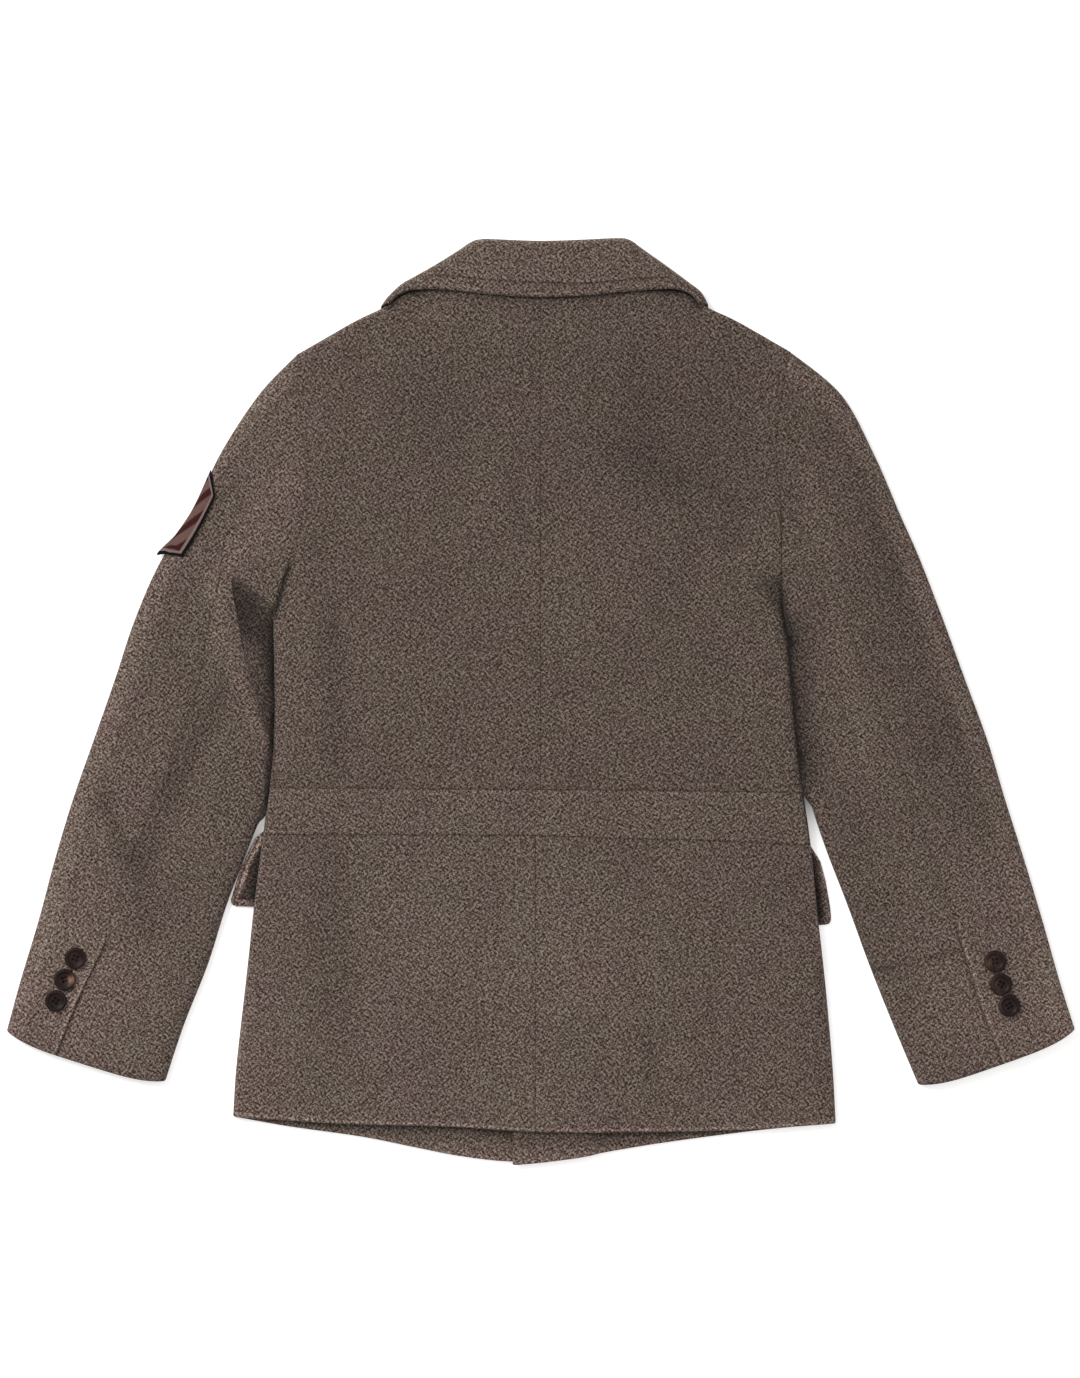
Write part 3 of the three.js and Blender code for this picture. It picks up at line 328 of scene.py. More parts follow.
class Curve:
    """Curve in the plane, read by its share of length."""

    def __init__(self, points, rounded=True):
        self.points = centripetal(points) if rounded and len(points) > 2 else np.array(points, float)
        lengths = lengths_along(self.points)
        self.shares = lengths / lengths[-1]

    def __call__(self, t):
        t = clamp01(np.asarray(t, float))
        return np.stack([np.interp(t, self.shares, self.points[:, k]) for k in (0, 1)], -1)

    def part(self, start, end, pieces=200):
        return Curve(self(np.linspace(start, end, pieces)), rounded=False)

    def reversed(self):
        return Curve(self.points[::-1], rounded=False)

    def shifted(self, dx, dy):
        return Curve(self.points + (dx, dy), rounded=False)

    def share_where(self, axis, value):
        along = self.points[:, axis]
        order = np.argsort(along)
        return float(np.interp(value, along[order], self.shares[order]))


class Joined:
    """Two curves one after the other, the first up to a given share."""

    def __init__(self, first, second, share):
        self.first, self.second, self.share = first, second, share

    def __call__(self, t):
        t = np.asarray(t, float)
        before = self.first(t / self.share)
        after = self.second((t - self.share) / (1 - self.share))
        return np.where((t < self.share)[..., None], before, after)


def straight(a, b):
    return Curve([a, b], rounded=False)


def distance_to_segment(x, y, a, b):
    dx, dy = b[0] - a[0], b[1] - a[1]
    t = clamp01(((x - a[0]) * dx + (y - a[1]) * dy) / max(dx * dx + dy * dy, TINY))
    return np.hypot(x - a[0] - t * dx, y - a[1] - t * dy)


def distance_to_row(x, y, row):
    return distance_to_segment(x, y, (row["x0"], row["y0"]), (row["x1"], row["y1"]))


def distance_to_line(points, x, y):
    return np.minimum.reduce([distance_to_segment(x, y, a, b) for a, b in zip(points, points[1:])])


def distance_outside(outline, x, y):
    """Distance outside a closed outline, zero inside it."""
    inside = np.zeros(np.shape(x), bool)
    best = np.full(np.shape(x), np.inf)
    for a, b in zip(np.roll(outline, 1, axis=0), outline):
        crosses = (a[1] > y) != (b[1] > y)
        rise = b[1] - a[1] if b[1] != a[1] else TINY
        inside ^= crosses & (x < a[0] + (y - a[1]) / rise * (b[0] - a[0]))
        best = np.minimum(best, distance_to_segment(x, y, a, b))
    return np.where(inside, 0, best)


def fold_height(x, y):
    return sum(row["height"] * hill(distance_to_row(x, y, row), row["width"]) for row in FOLDS)


# Curves of the body, running from the hem up or from left to right
side_left = Curve(SIDE_LEFT).reversed()
side_right = Curve(SIDE_RIGHT).reversed()
armhole_left = Curve(ARMHOLE_LEFT)
armhole_right = Curve(ARMHOLE_RIGHT)
shoulder_left = Curve(SHOULDER_LEFT)
shoulder_right = Curve(SHOULDER_RIGHT)
waist_top = Curve(WAIST_TOP)
waist_low = Curve(WAIST_LOW)
hem_back = Curve(HEM_BACK)

POLYLINE_SHARES = np.linspace(0, 1, 25)
side_lines = [curve(POLYLINE_SHARES) for curve in (side_left, side_right)]
shoulder_lines = [curve(POLYLINE_SHARES) for curve in (shoulder_left, shoulder_right)]
hem_line = hem_back(POLYLINE_SHARES)


def distance_to_lines(lines, x, y):
    return np.minimum.reduce([distance_to_line(points, x, y) for points in lines])


def leaf_outline(rows):
    rolls = [(row["roll_x"], row["roll_y"]) for row in rows]
    ends = [(row["roll_x"], row["roll_y"] - row["leaf"]) for row in rows]
    return line(rolls + ends[::-1])


def flap_outline(flap):
    return np.vstack([flap["top"][::-1], flap["outer"][::-1], flap["bottom"][::-1], flap["inner"]])


TRIM_LEFT = [flap_outline(FLAP_LEFT), LAPEL_LEFT, leaf_outline(COLLAR[:10])]
TRIM_RIGHT = [flap_outline(FLAP_RIGHT), LAPEL_RIGHT, leaf_outline(COLLAR[11:])]
OVERLAP_WEST = RIGHT_FRONT_EDGE - OVERLAP_REACH
OVERLAP_EAST = LEFT_FRONT_EDGE + OVERLAP_REACH
OVERLAP = line([
    (OVERLAP_WEST, LOW_Y), (OVERLAP_EAST, LOW_Y), (OVERLAP_EAST, BREAK_Y),
    ((LEFT_FRONT_EDGE + RIGHT_FRONT_EDGE) / 2, CROSSING_Y), (OVERLAP_WEST, CROSSING_Y),
])


def carried_by_trim(outlines, x, y):
    """How far flaps, lapels and collar ends carry a front off the floor."""
    away = np.minimum.reduce([distance_outside(outline, x, y) for outline in outlines]) - CARRY_MARGIN
    return (UNDER_WALL + SEAM_GAP) * (1 - smooth(away / CARRY_RAMP))


def button_carry(x, y):
    away = np.minimum.reduce([np.hypot(x - row["x"], y - row["y"]) for row in FRONT_BUTTONS])
    away = away - FRONT_BUTTON_RADIUS - CARRY_MARGIN
    return (FRONT_BUTTON_THICKNESS + SEAM_GAP) * (1 - smooth(away / CARRY_RAMP))


def left_front_low(x, y):
    return np.maximum(carried_by_trim(TRIM_LEFT, x, y), button_carry(x, y))


def left_front_high(x, y):
    return np.maximum(carried_by_trim(TRIM_LEFT, x, y) + FRONT_WALL, button_carry(x, y) + WALL_PRESSED)


def highest_near(surface, x, y):
    steps = ((0, 0), (NEAR, 0), (-NEAR, 0), (0, NEAR), (0, -NEAR))
    return np.maximum.reduce([surface(x + dx, y + dy) for dx, dy in steps])


def right_front_low(x, y):
    away = distance_outside(OVERLAP, x, y) / OVERLAP_RAMP
    over_left = (highest_near(left_front_high, x, y) + SEAM_GAP) * (1 - smooth(away))
    return np.maximum(carried_by_trim(TRIM_RIGHT, x, y), over_left)


def right_front_high(x, y):
    low = right_front_low(x, y)
    return np.minimum(low + FRONT_WALL, np.maximum(CROWN_INNER - SEAM_GAP, low + WALL_PRESSED))


def back_floor(x, y):
    left = np.where(x < LEFT_FRONT_EDGE + EDGE_REACH, highest_near(left_front_high, x, y), 0)
    right = np.where(x > RIGHT_FRONT_EDGE - EDGE_REACH, highest_near(right_front_high, x, y), 0)
    return np.maximum(left, right) + SEAM_GAP


class BackFields:
    """Heights of the back at many points, worked out once."""

    def __init__(self, x, y):
        self.x, self.y = x, y
        self.edge = distance_to_lines(side_lines + shoulder_lines, x, y)
        self.floor = back_floor(x, y)
        settle = mix(HEM_LOW, 1, smooth(distance_to_line(hem_line, x, y) / HEM_SETTLE))
        self.crown = np.maximum(self.floor, self.floor + (CROWN_INNER - self.floor) * settle)
        self.folds = fold_height(x, y)

    def inner(self):
        share = quarter_round((self.edge - BACK_WALL) / (EDGE_ROUND - BACK_WALL))
        fold = np.minimum(OPEN_FOLD_LIMIT, self.folds) * smooth(share)
        return np.maximum(self.floor, self.floor + (self.crown - self.floor) * share + fold)

    def outer(self):
        foot = self.floor + EDGE_FACE
        share = quarter_round(self.edge / EDGE_ROUND)
        top = foot + (self.crown + BACK_WALL - foot) * share + self.folds * smooth(share)
        return np.maximum(top, self.inner() + EDGE_FACE)


# Fine relief of the cloth: soft creases, unevenness and the dip at each seam.
# bend bows a crease to one side. Every crease has a low bank on both sides.
CREASES = table(("x0", "y0", "x1", "y1", "bend", "width", "height"), [
    # body
    (3, -70, 5, -190, 2, 4, -0.25),
    (-2, 60, -4, -55, 1, 5, -0.2),
    (70, 240, 82, 120, 5, 7, -0.35),
    (84, -80, 70, -190, -3, 5, -0.4),
    (80, 86, 78, 40, 3, 5, -0.35),
    (118, 134, 120, 92, -2, 6, 0.35),
    (100, 44, 104, 20, 2, 6, 0.3),
    (70, -205, 84, -280, 4, 6, -0.35),
    (-140, 50, -136, -56, 5, 7, -0.35),
    (-120, -110, -128, -240, -6, 8, -0.35),
    (-60, 210, -70, 90, 6, 12, -0.25),
    (-100, 250, -120, 170, -6, 9, 0.3),
    (130, 60, 150, 10, -4, 8, 0.35),
    (152, 96, 166, 72, -3, 5, -0.5),
    (140, 104, 163, 84, -3, 5, 0.4),
    (160, 60, 172, -10, 2, 7, 0.3),
    (-180, 55, -176, -40, -2, 5, 0.3),
    (-30, -230, 20, -238, 3, 12, -0.2),
    (120, -150, 170, -190, 6, 11, -0.25),
    (-180, -130, -196, -230, 4, 8, 0.25),
    (40, 20, 44, -50, -4, 9, 0.2),
    # left sleeve
    (-196, 162, -214, 118, 5, 8, 0.35),
    (-176, 118, -206, 104, 4, 6, 0.4),
    (-180, 92, -204, 90, -3, 4, -0.35),
    (-231, 92, -228, 62, -4, 6, 0.6),
    (-228, 40, -214, -2, -4, 7, 0.45),
    (-214, -2, -199, -34, -3, 7, 0.35),
    (-240, 30, -262, -40, 6, 9, -0.35),
    (-262, -52, -282, -130, -5, 9, -0.35),
    (-300, 30, -318, -40, 4, 10, 0.3),
    (-250, -150, -300, -160, 5, 12, -0.2),
    (-240, -76, -222, -120, 3, 8, 0.35),
    # right sleeve
    (173, 186, 196, 150, -4, 7, 0.35),
    (184, 96, 214, 104, 5, 7, 0.3),
    (222, 38, 246, -18, -4, 6, -0.5),
    (212, 60, 236, 0, -5, 7, 0.35),
    (196, 20, 214, -60, -6, 8, 0.35),
    (232, -189, 293, -172, 6, 4, -0.35),
    (300, -40, 330, -110, 6, 10, 0.3),
    (214, -60, 236, -130, -4, 8, -0.3),
])


CREASE_SPILL = 0.15
CREASE_RAMP = 0.4
CREASE_BANK = 0.35


def crease_height(x, y):
    """Soft troughs and ridges, each full in its middle and running out at both ends."""
    height = np.zeros(np.shape(x))
    for row in CREASES:
        start, end = np.array((row["x0"], row["y0"])), np.array((row["x1"], row["y1"]))
        length = np.linalg.norm(end - start)
        along = (end - start) / length
        t = ((x - start[0]) * along[0] + (y - start[1]) * along[1]) / length
        side = (x - start[0]) * -along[1] + (y - start[1]) * along[0]
        side = side - row["bend"] * 4 * clamp01(t) * (1 - clamp01(t))
        fullness = smooth((t + CREASE_SPILL) / CREASE_RAMP) * smooth((1 + CREASE_SPILL - t) / CREASE_RAMP)
        bank = CREASE_BANK * hill(np.abs(side) - 2 * row["width"], row["width"])
        height += row["height"] * fullness * (hill(side, row["width"]) - bank)
    return height


WAVES = table(("length_x", "length_y", "phase", "height"), [
    (61, 47, 0.3, 0.10), (37, 83, 1.9, 0.09), (29, 23, 4.1, 0.05), (113, 71, 2.2, 0.12), (17, 31, 0.9, 0.03),
])


WAVE_PHASE = 2.1
WAVE_BENDS = (0.9, 1.1)


def unevenness(x, y):
    """Low swells of cloth that has been pressed and handled."""
    height = np.zeros(np.shape(x))
    for row in WAVES:
        bend_x = WAVE_BENDS[0] * np.sin(y / row["length_y"])
        bend_y = WAVE_BENDS[1] * np.sin(x / row["length_x"])
        a = 2 * math.pi * x / row["length_x"] + row["phase"] + bend_x
        b = 2 * math.pi * y / row["length_y"] + WAVE_PHASE * row["phase"] + bend_y
        height += row["height"] * np.sin(a) * np.sin(b)
    return height


# Mesh making
def loop_around(rows, columns):
    """Indices of a grid's border, once round, and of the point inside next to each."""
    i = np.arange(rows)
    k = np.arange(columns)
    border = [(r, 0) for r in i[:-1]] + [(rows - 1, c) for c in k[:-1]]
    border += [(r, columns - 1) for r in i[:0:-1]] + [(0, c) for c in k[:0:-1]]
    border = np.array(border)
    inside = np.clip(border, [1, 1], [rows - 2, columns - 2])
    return border, inside


NOSE_STEPS = 3


def rim_reach(border, rows, columns, bulge):
    """How far the rim bulges at each of its points, the least of its sides at a corner."""
    sides = zip((0, 0, 1, 1), (0, rows - 1, 0, columns - 1), bulge)
    return np.min([np.where(border[:, axis] == end, value, np.inf) for axis, end, value in sides], 0)


def rim_noses(top, low, away, reach):
    """Rings of points that round the rim from its upper edge to its lower one."""
    angles = np.linspace(0, math.pi, NOSE_STEPS + 2)[1:-1]
    return [mix(top, low, (1 - math.cos(a)) / 2) + away * (reach * math.sin(a))[:, None] for a in angles]


def shell_faces(rows, columns, border):
    count = rows * columns
    grid = np.arange(count).reshape(rows, columns)
    a, b = grid[:-1, :-1].ravel(), grid[1:, :-1].ravel()
    c, d = grid[1:, 1:].ravel(), grid[:-1, 1:].ravel()
    faces = [np.stack([a, b, c, d], 1), np.stack([a, d, c, b], 1) + count]
    rim = grid[border[:, 0], border[:, 1]]
    rings = [rim, *(2 * count + step * len(rim) + np.arange(len(rim)) for step in range(NOSE_STEPS))]
    rings.append(rim + count)
    for near, far in zip(rings, rings[1:]):
        faces.append(np.stack([np.roll(near, -1), near, far, np.roll(far, -1)], 1))
    return np.vstack(faces)


def shell_mesh(outer, inner, bulge):
    """Vertices and faces of a closed shell. bulge rounds its rim, one value for each side of the grid."""
    rows, columns = outer.shape[:2]
    border, inside = loop_around(rows, columns)
    top = outer[border[:, 0], border[:, 1]]
    low = inner[border[:, 0], border[:, 1]]
    away = top - outer[inside[:, 0], inside[:, 1]]
    away[:, 2] = 0
    away /= np.maximum(np.linalg.norm(away, axis=1), TINY)[:, None]
    noses = rim_noses(top, low, away, rim_reach(border, rows, columns, bulge))
    vertices = np.vstack([outer.reshape(-1, 3), inner.reshape(-1, 3), *noses])
    return vertices, shell_faces(rows, columns, border), border


def outward(vertices, faces):
    """Faces turned so that the closed mesh has its normals outside."""
    a, b, c, d = (vertices[faces[:, k]] for k in range(4))
    volume = np.einsum("ij,ij->", a, np.cross(b, c)) + np.einsum("ij,ij->", a, np.cross(c, d))
    return faces if volume > 0 else faces[:, ::-1]


def mesh_object(name, vertices, faces):
    mesh = bpy.data.meshes.new(name)
    mesh.vertices.add(len(vertices))
    mesh.vertices.foreach_set("co", (vertices * MM).ravel())
    mesh.loops.add(faces.size)
    mesh.loops.foreach_set("vertex_index", faces.ravel())
    mesh.polygons.add(len(faces))
    mesh.polygons.foreach_set("loop_start", np.arange(0, faces.size, faces.shape[1]))
    mesh.update(calc_edges=True)
    mesh.validate()
    mesh.polygons.foreach_set("use_smooth", np.ones(len(faces), bool))
    piece = bpy.data.objects.new(name, mesh)
    bpy.context.scene.collection.objects.link(piece)
    return piece


def keep_values(piece, name, kind, values):
    attribute = piece.data.attributes.new(name, kind, "POINT")
    key = "vector" if kind == "FLOAT_VECTOR" else "value"
    attribute.data.foreach_set(key, np.ascontiguousarray(values, dtype=np.float32).ravel())


def cloth_piece(name, outer, inner, grain, tone, kind):
    """Closed cloth shell. grain gives each grid point its place on the cut cloth, tone its painted light and
    shade; the patch's tone is its distance in from the edge.
    """
    vertices, faces, border = shell_mesh(outer, inner, BULGES[kind])
    piece = mesh_object(name, vertices, outward(vertices, faces))
    rim_grain = grain[border[:, 0], border[:, 1]]
    rim_tone = tone[border[:, 0], border[:, 1]]
    grains = np.vstack([grain.reshape(-1, 2)] * 2 + [rim_grain] * NOSE_STEPS)
    tones = np.concatenate([tone.ravel()] * 2 + [rim_tone] * NOSE_STEPS)
    keep_values(piece, "grain", "FLOAT_VECTOR", np.column_stack([grains * MM, np.zeros(len(grains))]))
    keep_values(piece, "tone", "FLOAT", tones)
    return piece


def with_height(places, height):
    height = np.broadcast_to(np.asarray(height, float), places.shape[:-1])
    return np.concatenate([places, height[..., None]], -1)


def flat_piece(name, places, high, low, tone, kind):
    """Cloth piece between two heights, with its grain along X and Y."""
    tone = np.broadcast_to(np.asarray(tone, float), places.shape[:-1])
    return cloth_piece(name, with_height(places, high), with_height(places, low), places, tone, kind)


NEAR_EDGE = np.array([0, 0.5, 1.0, 1.6, 2.4, 3.4, 4.8])
CLOTH_STEP = 3.0
HIDDEN_STEP = 7.0


def shares_along(length, step=CLOTH_STEP):
    """Places along an edge, close together near both of its ends."""
    middle = np.linspace(NEAR_EDGE[-1], length - NEAR_EDGE[-1], max(2, round(length / step)))
    return np.concatenate([NEAR_EDGE[:-1], middle, length - NEAR_EDGE[-2::-1]]) / length


def coons(edges, us, vs):
    """Grid of places between four edge curves."""
    bottom, top, left, right = edges
    low, high = bottom(us)[:, None], top(us)[:, None]
    west, east = left(vs)[None], right(vs)[None]
    u, v = us[:, None, None], vs[None, :, None]
    corners = mix(
        mix(bottom(0.0), bottom(1.0), u),
        mix(top(0.0), top(1.0), u),
        v,
    )
    return mix(low, high, v) + mix(west, east, u) - corners


# Seams that the back shows, for their dips and the painted shade in them
seam_curves = dict(
    centre_back=line([(CENTRE_BACK, -62.3), (CENTRE_BACK, NECK_Y)]),
    centre_skirt=line([(CENTRE_SKIRT, HEM_BACK[3][1]), (CENTRE_SKIRT, -94)]),
    waist_top=waist_top(POLYLINE_SHARES),
    waist_low=waist_low(POLYLINE_SHARES),
    armhole_left=armhole_left(POLYLINE_SHARES),
    armhole_right=armhole_right(POLYLINE_SHARES),
)
SEAM_LOOKS = table(("seam", "depth", "width", "shade", "shade_width"), [
    ("centre_back", 0.15, 1.3, 0.05, 1.2),
    ("centre_skirt", 0.2, 1.3, 0.06, 1.2),
    ("waist_top", 0.5, 1.2, 0.30, 1.1),
    ("waist_low", 0.5, 1.2, 0.34, 1.2),
    ("armhole_left", 0.3, 1.5, 0.06, 1.3),
    ("armhole_right", 0.5, 1.6, 0.2, 1.4),
])


def seam_relief(x, y):
    """Dip along each seam, and how much painted shade darkens the cloth in it."""
    dip = np.zeros(np.shape(x))
    shade = np.zeros(np.shape(x))
    for look in SEAM_LOOKS:
        away = distance_to_line(seam_curves[look["seam"]], x, y)
        dip = np.maximum(dip, look["depth"] * hill(away, look["width"]))
        shade = np.maximum(shade, look["shade"] * hill(away, look["shade_width"]))
    return dip, shade


# Slow changes over the coat, partly painted light and shade of its folds, partly the cloth's own uneven
# colour: a place, a reach along x and y, and the change there.
SHADES = table(("x", "y", "reach_x", "reach_y", "change"), [
    (90, 200, 90, 80, -0.17),
    (110, 60, 60, 60, -0.03),
    (-90, 190, 80, 70, -0.08),
    (-70, -190, 120, 90, 0.10),
    (20, -180, 60, 70, 0.09),
    (120, -200, 80, 70, 0.04),
    (-200, 190, 40, 50, 0.06),
    (-280, 120, 60, 90, 0.10),
    (-300, -60, 60, 90, 0.16),
    (-330, -205, 60, 60, 0.47),
    (-335, -100, 16, 60, 0.12),
    (-186, 132, 24, 34, 0.10),
    (-258, 45, 22, 50, -0.12),
    (-75, 222, 50, 32, -0.08),
    (-196, -255, 30, 42, 0.20),
    (0, -292, 500, 34, 0.13),
    (215, 120, 40, 70, -0.06),
    (220, 0, 25, 60, 0.06),
    (320, -130, 50, 40, 0.20),
    (330, -215, 70, 50, 0.50),
    (0, 305, 130, 16, 0.06),
])


# Strength of the painted shade in folds and the painted light on their crests
PAINTED_CREASE_SHADE = 0.075


def slow_shade(x, y):
    shade = np.ones(np.shape(x))
    for row in SHADES:
        shade += row["change"] * hill(x - row["x"], row["reach_x"]) * hill(y - row["y"], row["reach_y"])
    return shade


def painted_crease_shade(x, y):
    """Painted shade down in a fold and painted light on its crest."""
    return PAINTED_CREASE_SHADE * (fold_height(x, y) + crease_height(x, y))


# Painted lit edges, as lines for soft_lines, and the painted shadow beside the collar
BAND_RIM = (1.7, 0.9, 1)
BAND_LIGHT = 0.2
BAND_SEAM_LIGHT = 0.7
HEM_RIM = (0.8, 1.0, 0.75)
SIDE_RIM = (0.6, 1.1, 0.25)
SHOULDER_RIM = (0.6, 1.2, 0.35)
NECK_CLEAR = 4
COLLAR_SHADE = table(("reach", "loss"), [(2.4, 0.6), (9, 0.16)])
COLLAR_TIP = dict(from_x=70, ramp=18, reach=3.6, loss=0.97)
FREE_EDGE_PIECES = 6


def painted_band_highlight(x, y):
    """Painted highlight along the pressed seam edges of the waistband."""
    seams = (seam_curves["waist_top"], seam_curves["waist_low"])
    return np.maximum.reduce([soft_lines(distance_to_line(seam, x, y), BAND_RIM) for seam in seams])


def painted_collar_shadow(x, y):
    """Light left on the back beside the collar's free edge, under a painted shadow that is darkest near the
    tips.
    """
    free = line([(row["edge_x"], row["edge_y"]) for row in COLLAR])
    away = distance_to_line(centripetal(free, FREE_EDGE_PIECES), x, y)
    light = np.ones(np.shape(x))
    for row in COLLAR_SHADE:
        light *= 1 - row["loss"] * hill(away, row["reach"])
    at_tip = smooth((np.abs(x) - COLLAR_TIP["from_x"]) / COLLAR_TIP["ramp"])
    return light * (1 - COLLAR_TIP["loss"] * at_tip * hill(away, COLLAR_TIP["reach"]))


def back_tone(kind, x, y, edge, seam_shade):
    """Painted light and shade of the back: in its folds, at its seams and edges, and beside the collar."""
    tone = slow_shade(x, y) + painted_crease_shade(x, y) - seam_shade + BACK_BRIGHT[kind]
    if kind == "waistband":
        tone = tone + BAND_LIGHT * painted_band_highlight(x, y) + seam_shade * BAND_SEAM_LIGHT
    if kind == "skirt":
        tone = tone + soft_lines(distance_to_line(hem_line, x, y), HEM_RIM) + soft_lines(edge, SIDE_RIM)
    tone = tone * light_left(BODY_SHADES, x, y) * painted_collar_shadow(x, y)
    shoulder = distance_to_lines(shoulder_lines, x, y)
    return tone + soft_lines(shoulder, SHOULDER_RIM) * (y < NECK_Y - NECK_CLEAR)


BACK_BRIGHT = dict(upper_back=0, waistband=0.11, skirt=0.06)
BACK_EXTRA = dict(upper_back=0, waistband=BAND_EXTRA, skirt=0)


def back_piece(name, kind, edges, size, grain_from):
    us, vs = (shares_along(length) for length in size)
    places = coons(edges, us, vs)
    x, y = places[..., 0], places[..., 1]
    fields = BackFields(x, y)
    dip, seam_shade = seam_relief(x, y)
    relief = (crease_height(x, y) + unevenness(x, y)) * smooth(fields.edge / EDGE_ROUND)
    lift = BACK_EXTRA[kind] * quarter_round(fields.edge / EDGE_ROUND)
    inner = fields.inner()
    outer = np.maximum(fields.outer() + lift + relief - dip, inner + LEAST_WALL)
    tone = back_tone(kind, x, y, fields.edge, seam_shade)
    grain = places - np.array(grain_from)
    return cloth_piece(name, with_height(places, outer), with_height(places, inner), grain, tone, kind)


HALF_GAP = SEAM_GAP / 2
ARMHOLE_FROM = 0.4
NECK_FROM = 0.6
FRONT_ARMHOLE_FROM = 0.64
FRONT_BREAK_AT = 0.66
FRONT_ARMHOLE_GAP = 1.5
FRONT_SIZE = (225, 560)
UPPER_BACK_SIZE, UPPER_BACK_GRAIN = (186, 355), (0, 100)
WAISTBAND_SIZE, WAISTBAND_GRAIN = (376, 33), (13, 7)
SKIRT_SIZE, SKIRT_GRAIN = (205, 203), (-3.5, -150)
SHOWN_HEM = 44
HEM_SHADOW = 21


def body_lines(side):
    if side == "left":
        return side_left, armhole_left, shoulder_left, HALF_GAP
    return side_right, armhole_right, shoulder_right, -HALF_GAP


def half_line(curve, side, centre_x, inward, up):
    """A line across the back from one side to the centre seam, moved by half a gap."""
    start = 0 if side == "left" else 1
    return curve.part(start, curve.share_where(0, centre_x)).shifted(-inward, up)


def upper_back(side):
    side_curve, armhole, shoulder, inward = body_lines(side)
    waist = half_line(waist_top, side, CENTRE_BACK, inward, HALF_GAP)
    waist_y = WAIST_TOP[0 if side == "left" else -1][1]
    side_part = side_curve.part(side_curve.share_where(1, waist_y), 1)
    outer_edge = Joined(side_part.shifted(inward, 0), armhole.shifted(inward, 0), ARMHOLE_FROM)
    neck_end = (CENTRE_BACK - inward, NECK_Y)
    upper_edge = Joined(shoulder, straight(shoulder(1.0), neck_end), NECK_FROM)
    edges = (waist, upper_edge, outer_edge, straight(waist(1.0), neck_end))
    return back_piece(f"upper_back_{side}", "upper_back", edges, UPPER_BACK_SIZE, UPPER_BACK_GRAIN)


def waistband():
    edges = (
        waist_low.shifted(0, HALF_GAP),
        waist_top.shifted(0, -HALF_GAP),
        straight(WAIST_LOW[0], WAIST_TOP[0]),
        straight(WAIST_LOW[-1], WAIST_TOP[-1]),
    )
    return back_piece("waistband", "waistband", edges, WAISTBAND_SIZE, WAISTBAND_GRAIN)


def skirt(side):
    side_curve, _, _, inward = body_lines(side)
    hem = half_line(hem_back, side, CENTRE_SKIRT, inward, 0)
    waist = half_line(waist_low, side, CENTRE_SKIRT, inward, -HALF_GAP)
    waist_y = WAIST_LOW[0 if side == "left" else -1][1]
    outer_edge = side_curve.part(0, side_curve.share_where(1, waist_y))
    edges = (hem, waist, outer_edge, straight(hem(1.0), waist(1.0)))
    return back_piece(f"skirt_{side}", "skirt", edges, SKIRT_SIZE, SKIRT_GRAIN)


FRONT_LIGHT = dict(at_hem=0.7, won=0.7, lost=0.4)
FRONT_DARKER = 0.03
FRONT_RIM = (0.6, 0.8, 0.35)
FRONT_EDGE_SHADE = (0, 2, 0.2)
SHOWN_HEM_STEPS = 30


def front_tone(x, y, hem, is_left):
    """Painted shade of a front: a painted shadow below the back's hem, lit further down, and dim again where
    it is hidden, with a painted lit rim at its hem.
    """
    below = distance_to_line(hem_line, x, y)
    lit = FRONT_LIGHT["at_hem"] + FRONT_LIGHT["won"] * smooth(below / HEM_SHADOW)
    lit = lit - FRONT_LIGHT["lost"] * smooth((below - SHOWN_HEM) / HEM_SHADOW)
    tone = (slow_shade(x, y) - FRONT_DARKER) * lit
    tone = tone + soft_lines(distance_to_line(hem(POLYLINE_SHARES), x, y), FRONT_RIM)
    return tone * (1 - soft_lines(x - RIGHT_FRONT_EDGE, FRONT_EDGE_SHADE)) if is_left else tone


def front(side):
    side_curve, armhole, shoulder, _ = body_lines(side)
    is_left = side == "left"
    edge_x = LEFT_FRONT_EDGE if is_left else RIGHT_FRONT_EDGE
    hem = Curve(HEM_FRONT_LEFT) if is_left else Curve(HEM_FRONT_RIGHT).reversed()
    gap = FRONT_ARMHOLE_GAP if is_left else -FRONT_ARMHOLE_GAP
    outer_edge = Joined(side_curve, armhole.shifted(gap, 0), FRONT_ARMHOLE_FROM)
    break_point = (edge_x, BREAK_Y)
    opening = Joined(straight(hem(1.0), break_point), straight(break_point, shoulder(1.0)), FRONT_BREAK_AT)
    us, vs = (shares_along(length, HIDDEN_STEP) for length in FRONT_SIZE)
    near, shown = NEAR_EDGE / FRONT_SIZE[1], SHOWN_HEM / FRONT_SIZE[1]
    vs = np.concatenate([near, np.linspace(near[-1], shown, SHOWN_HEM_STEPS)[1:], vs[vs > shown]])
    places = coons((hem, shoulder, outer_edge, opening), us, vs)
    x, y = places[..., 0], places[..., 1]
    low = (left_front_low if is_left else right_front_low)(x, y)
    high = (left_front_high if is_left else right_front_high)(x, y)
    return flat_piece(f"front_panel_{side}", places, high, low, front_tone(x, y, hem, is_left), "front")


FLAP_SIZE = (110, 52)
FLAP_STEP = 2.5
FLAP_STITCH = 3.5
FLAP_RELIEF = ((0, 1.4, -0.6), (FLAP_STITCH, 0.9, -0.45))
FLAP_MIDDLE = dict(tone=0.45, ramp=1.8)
FLAP_LOWER = dict(light=0.35, y=-138, ramp=12)
FLAP_BESIDE_BODY = (0, 4.5, 0.6)
# Painted lit lines of a flap: its edge, then its stitches
FLAP_LINES = dict(
    left=((0.4, 0.8, 2.6), (FLAP_STITCH, 0.75, 3.4)),
    right=((0.4, 0.8, 0.9), (FLAP_STITCH, 0.75, 0.1)),
)


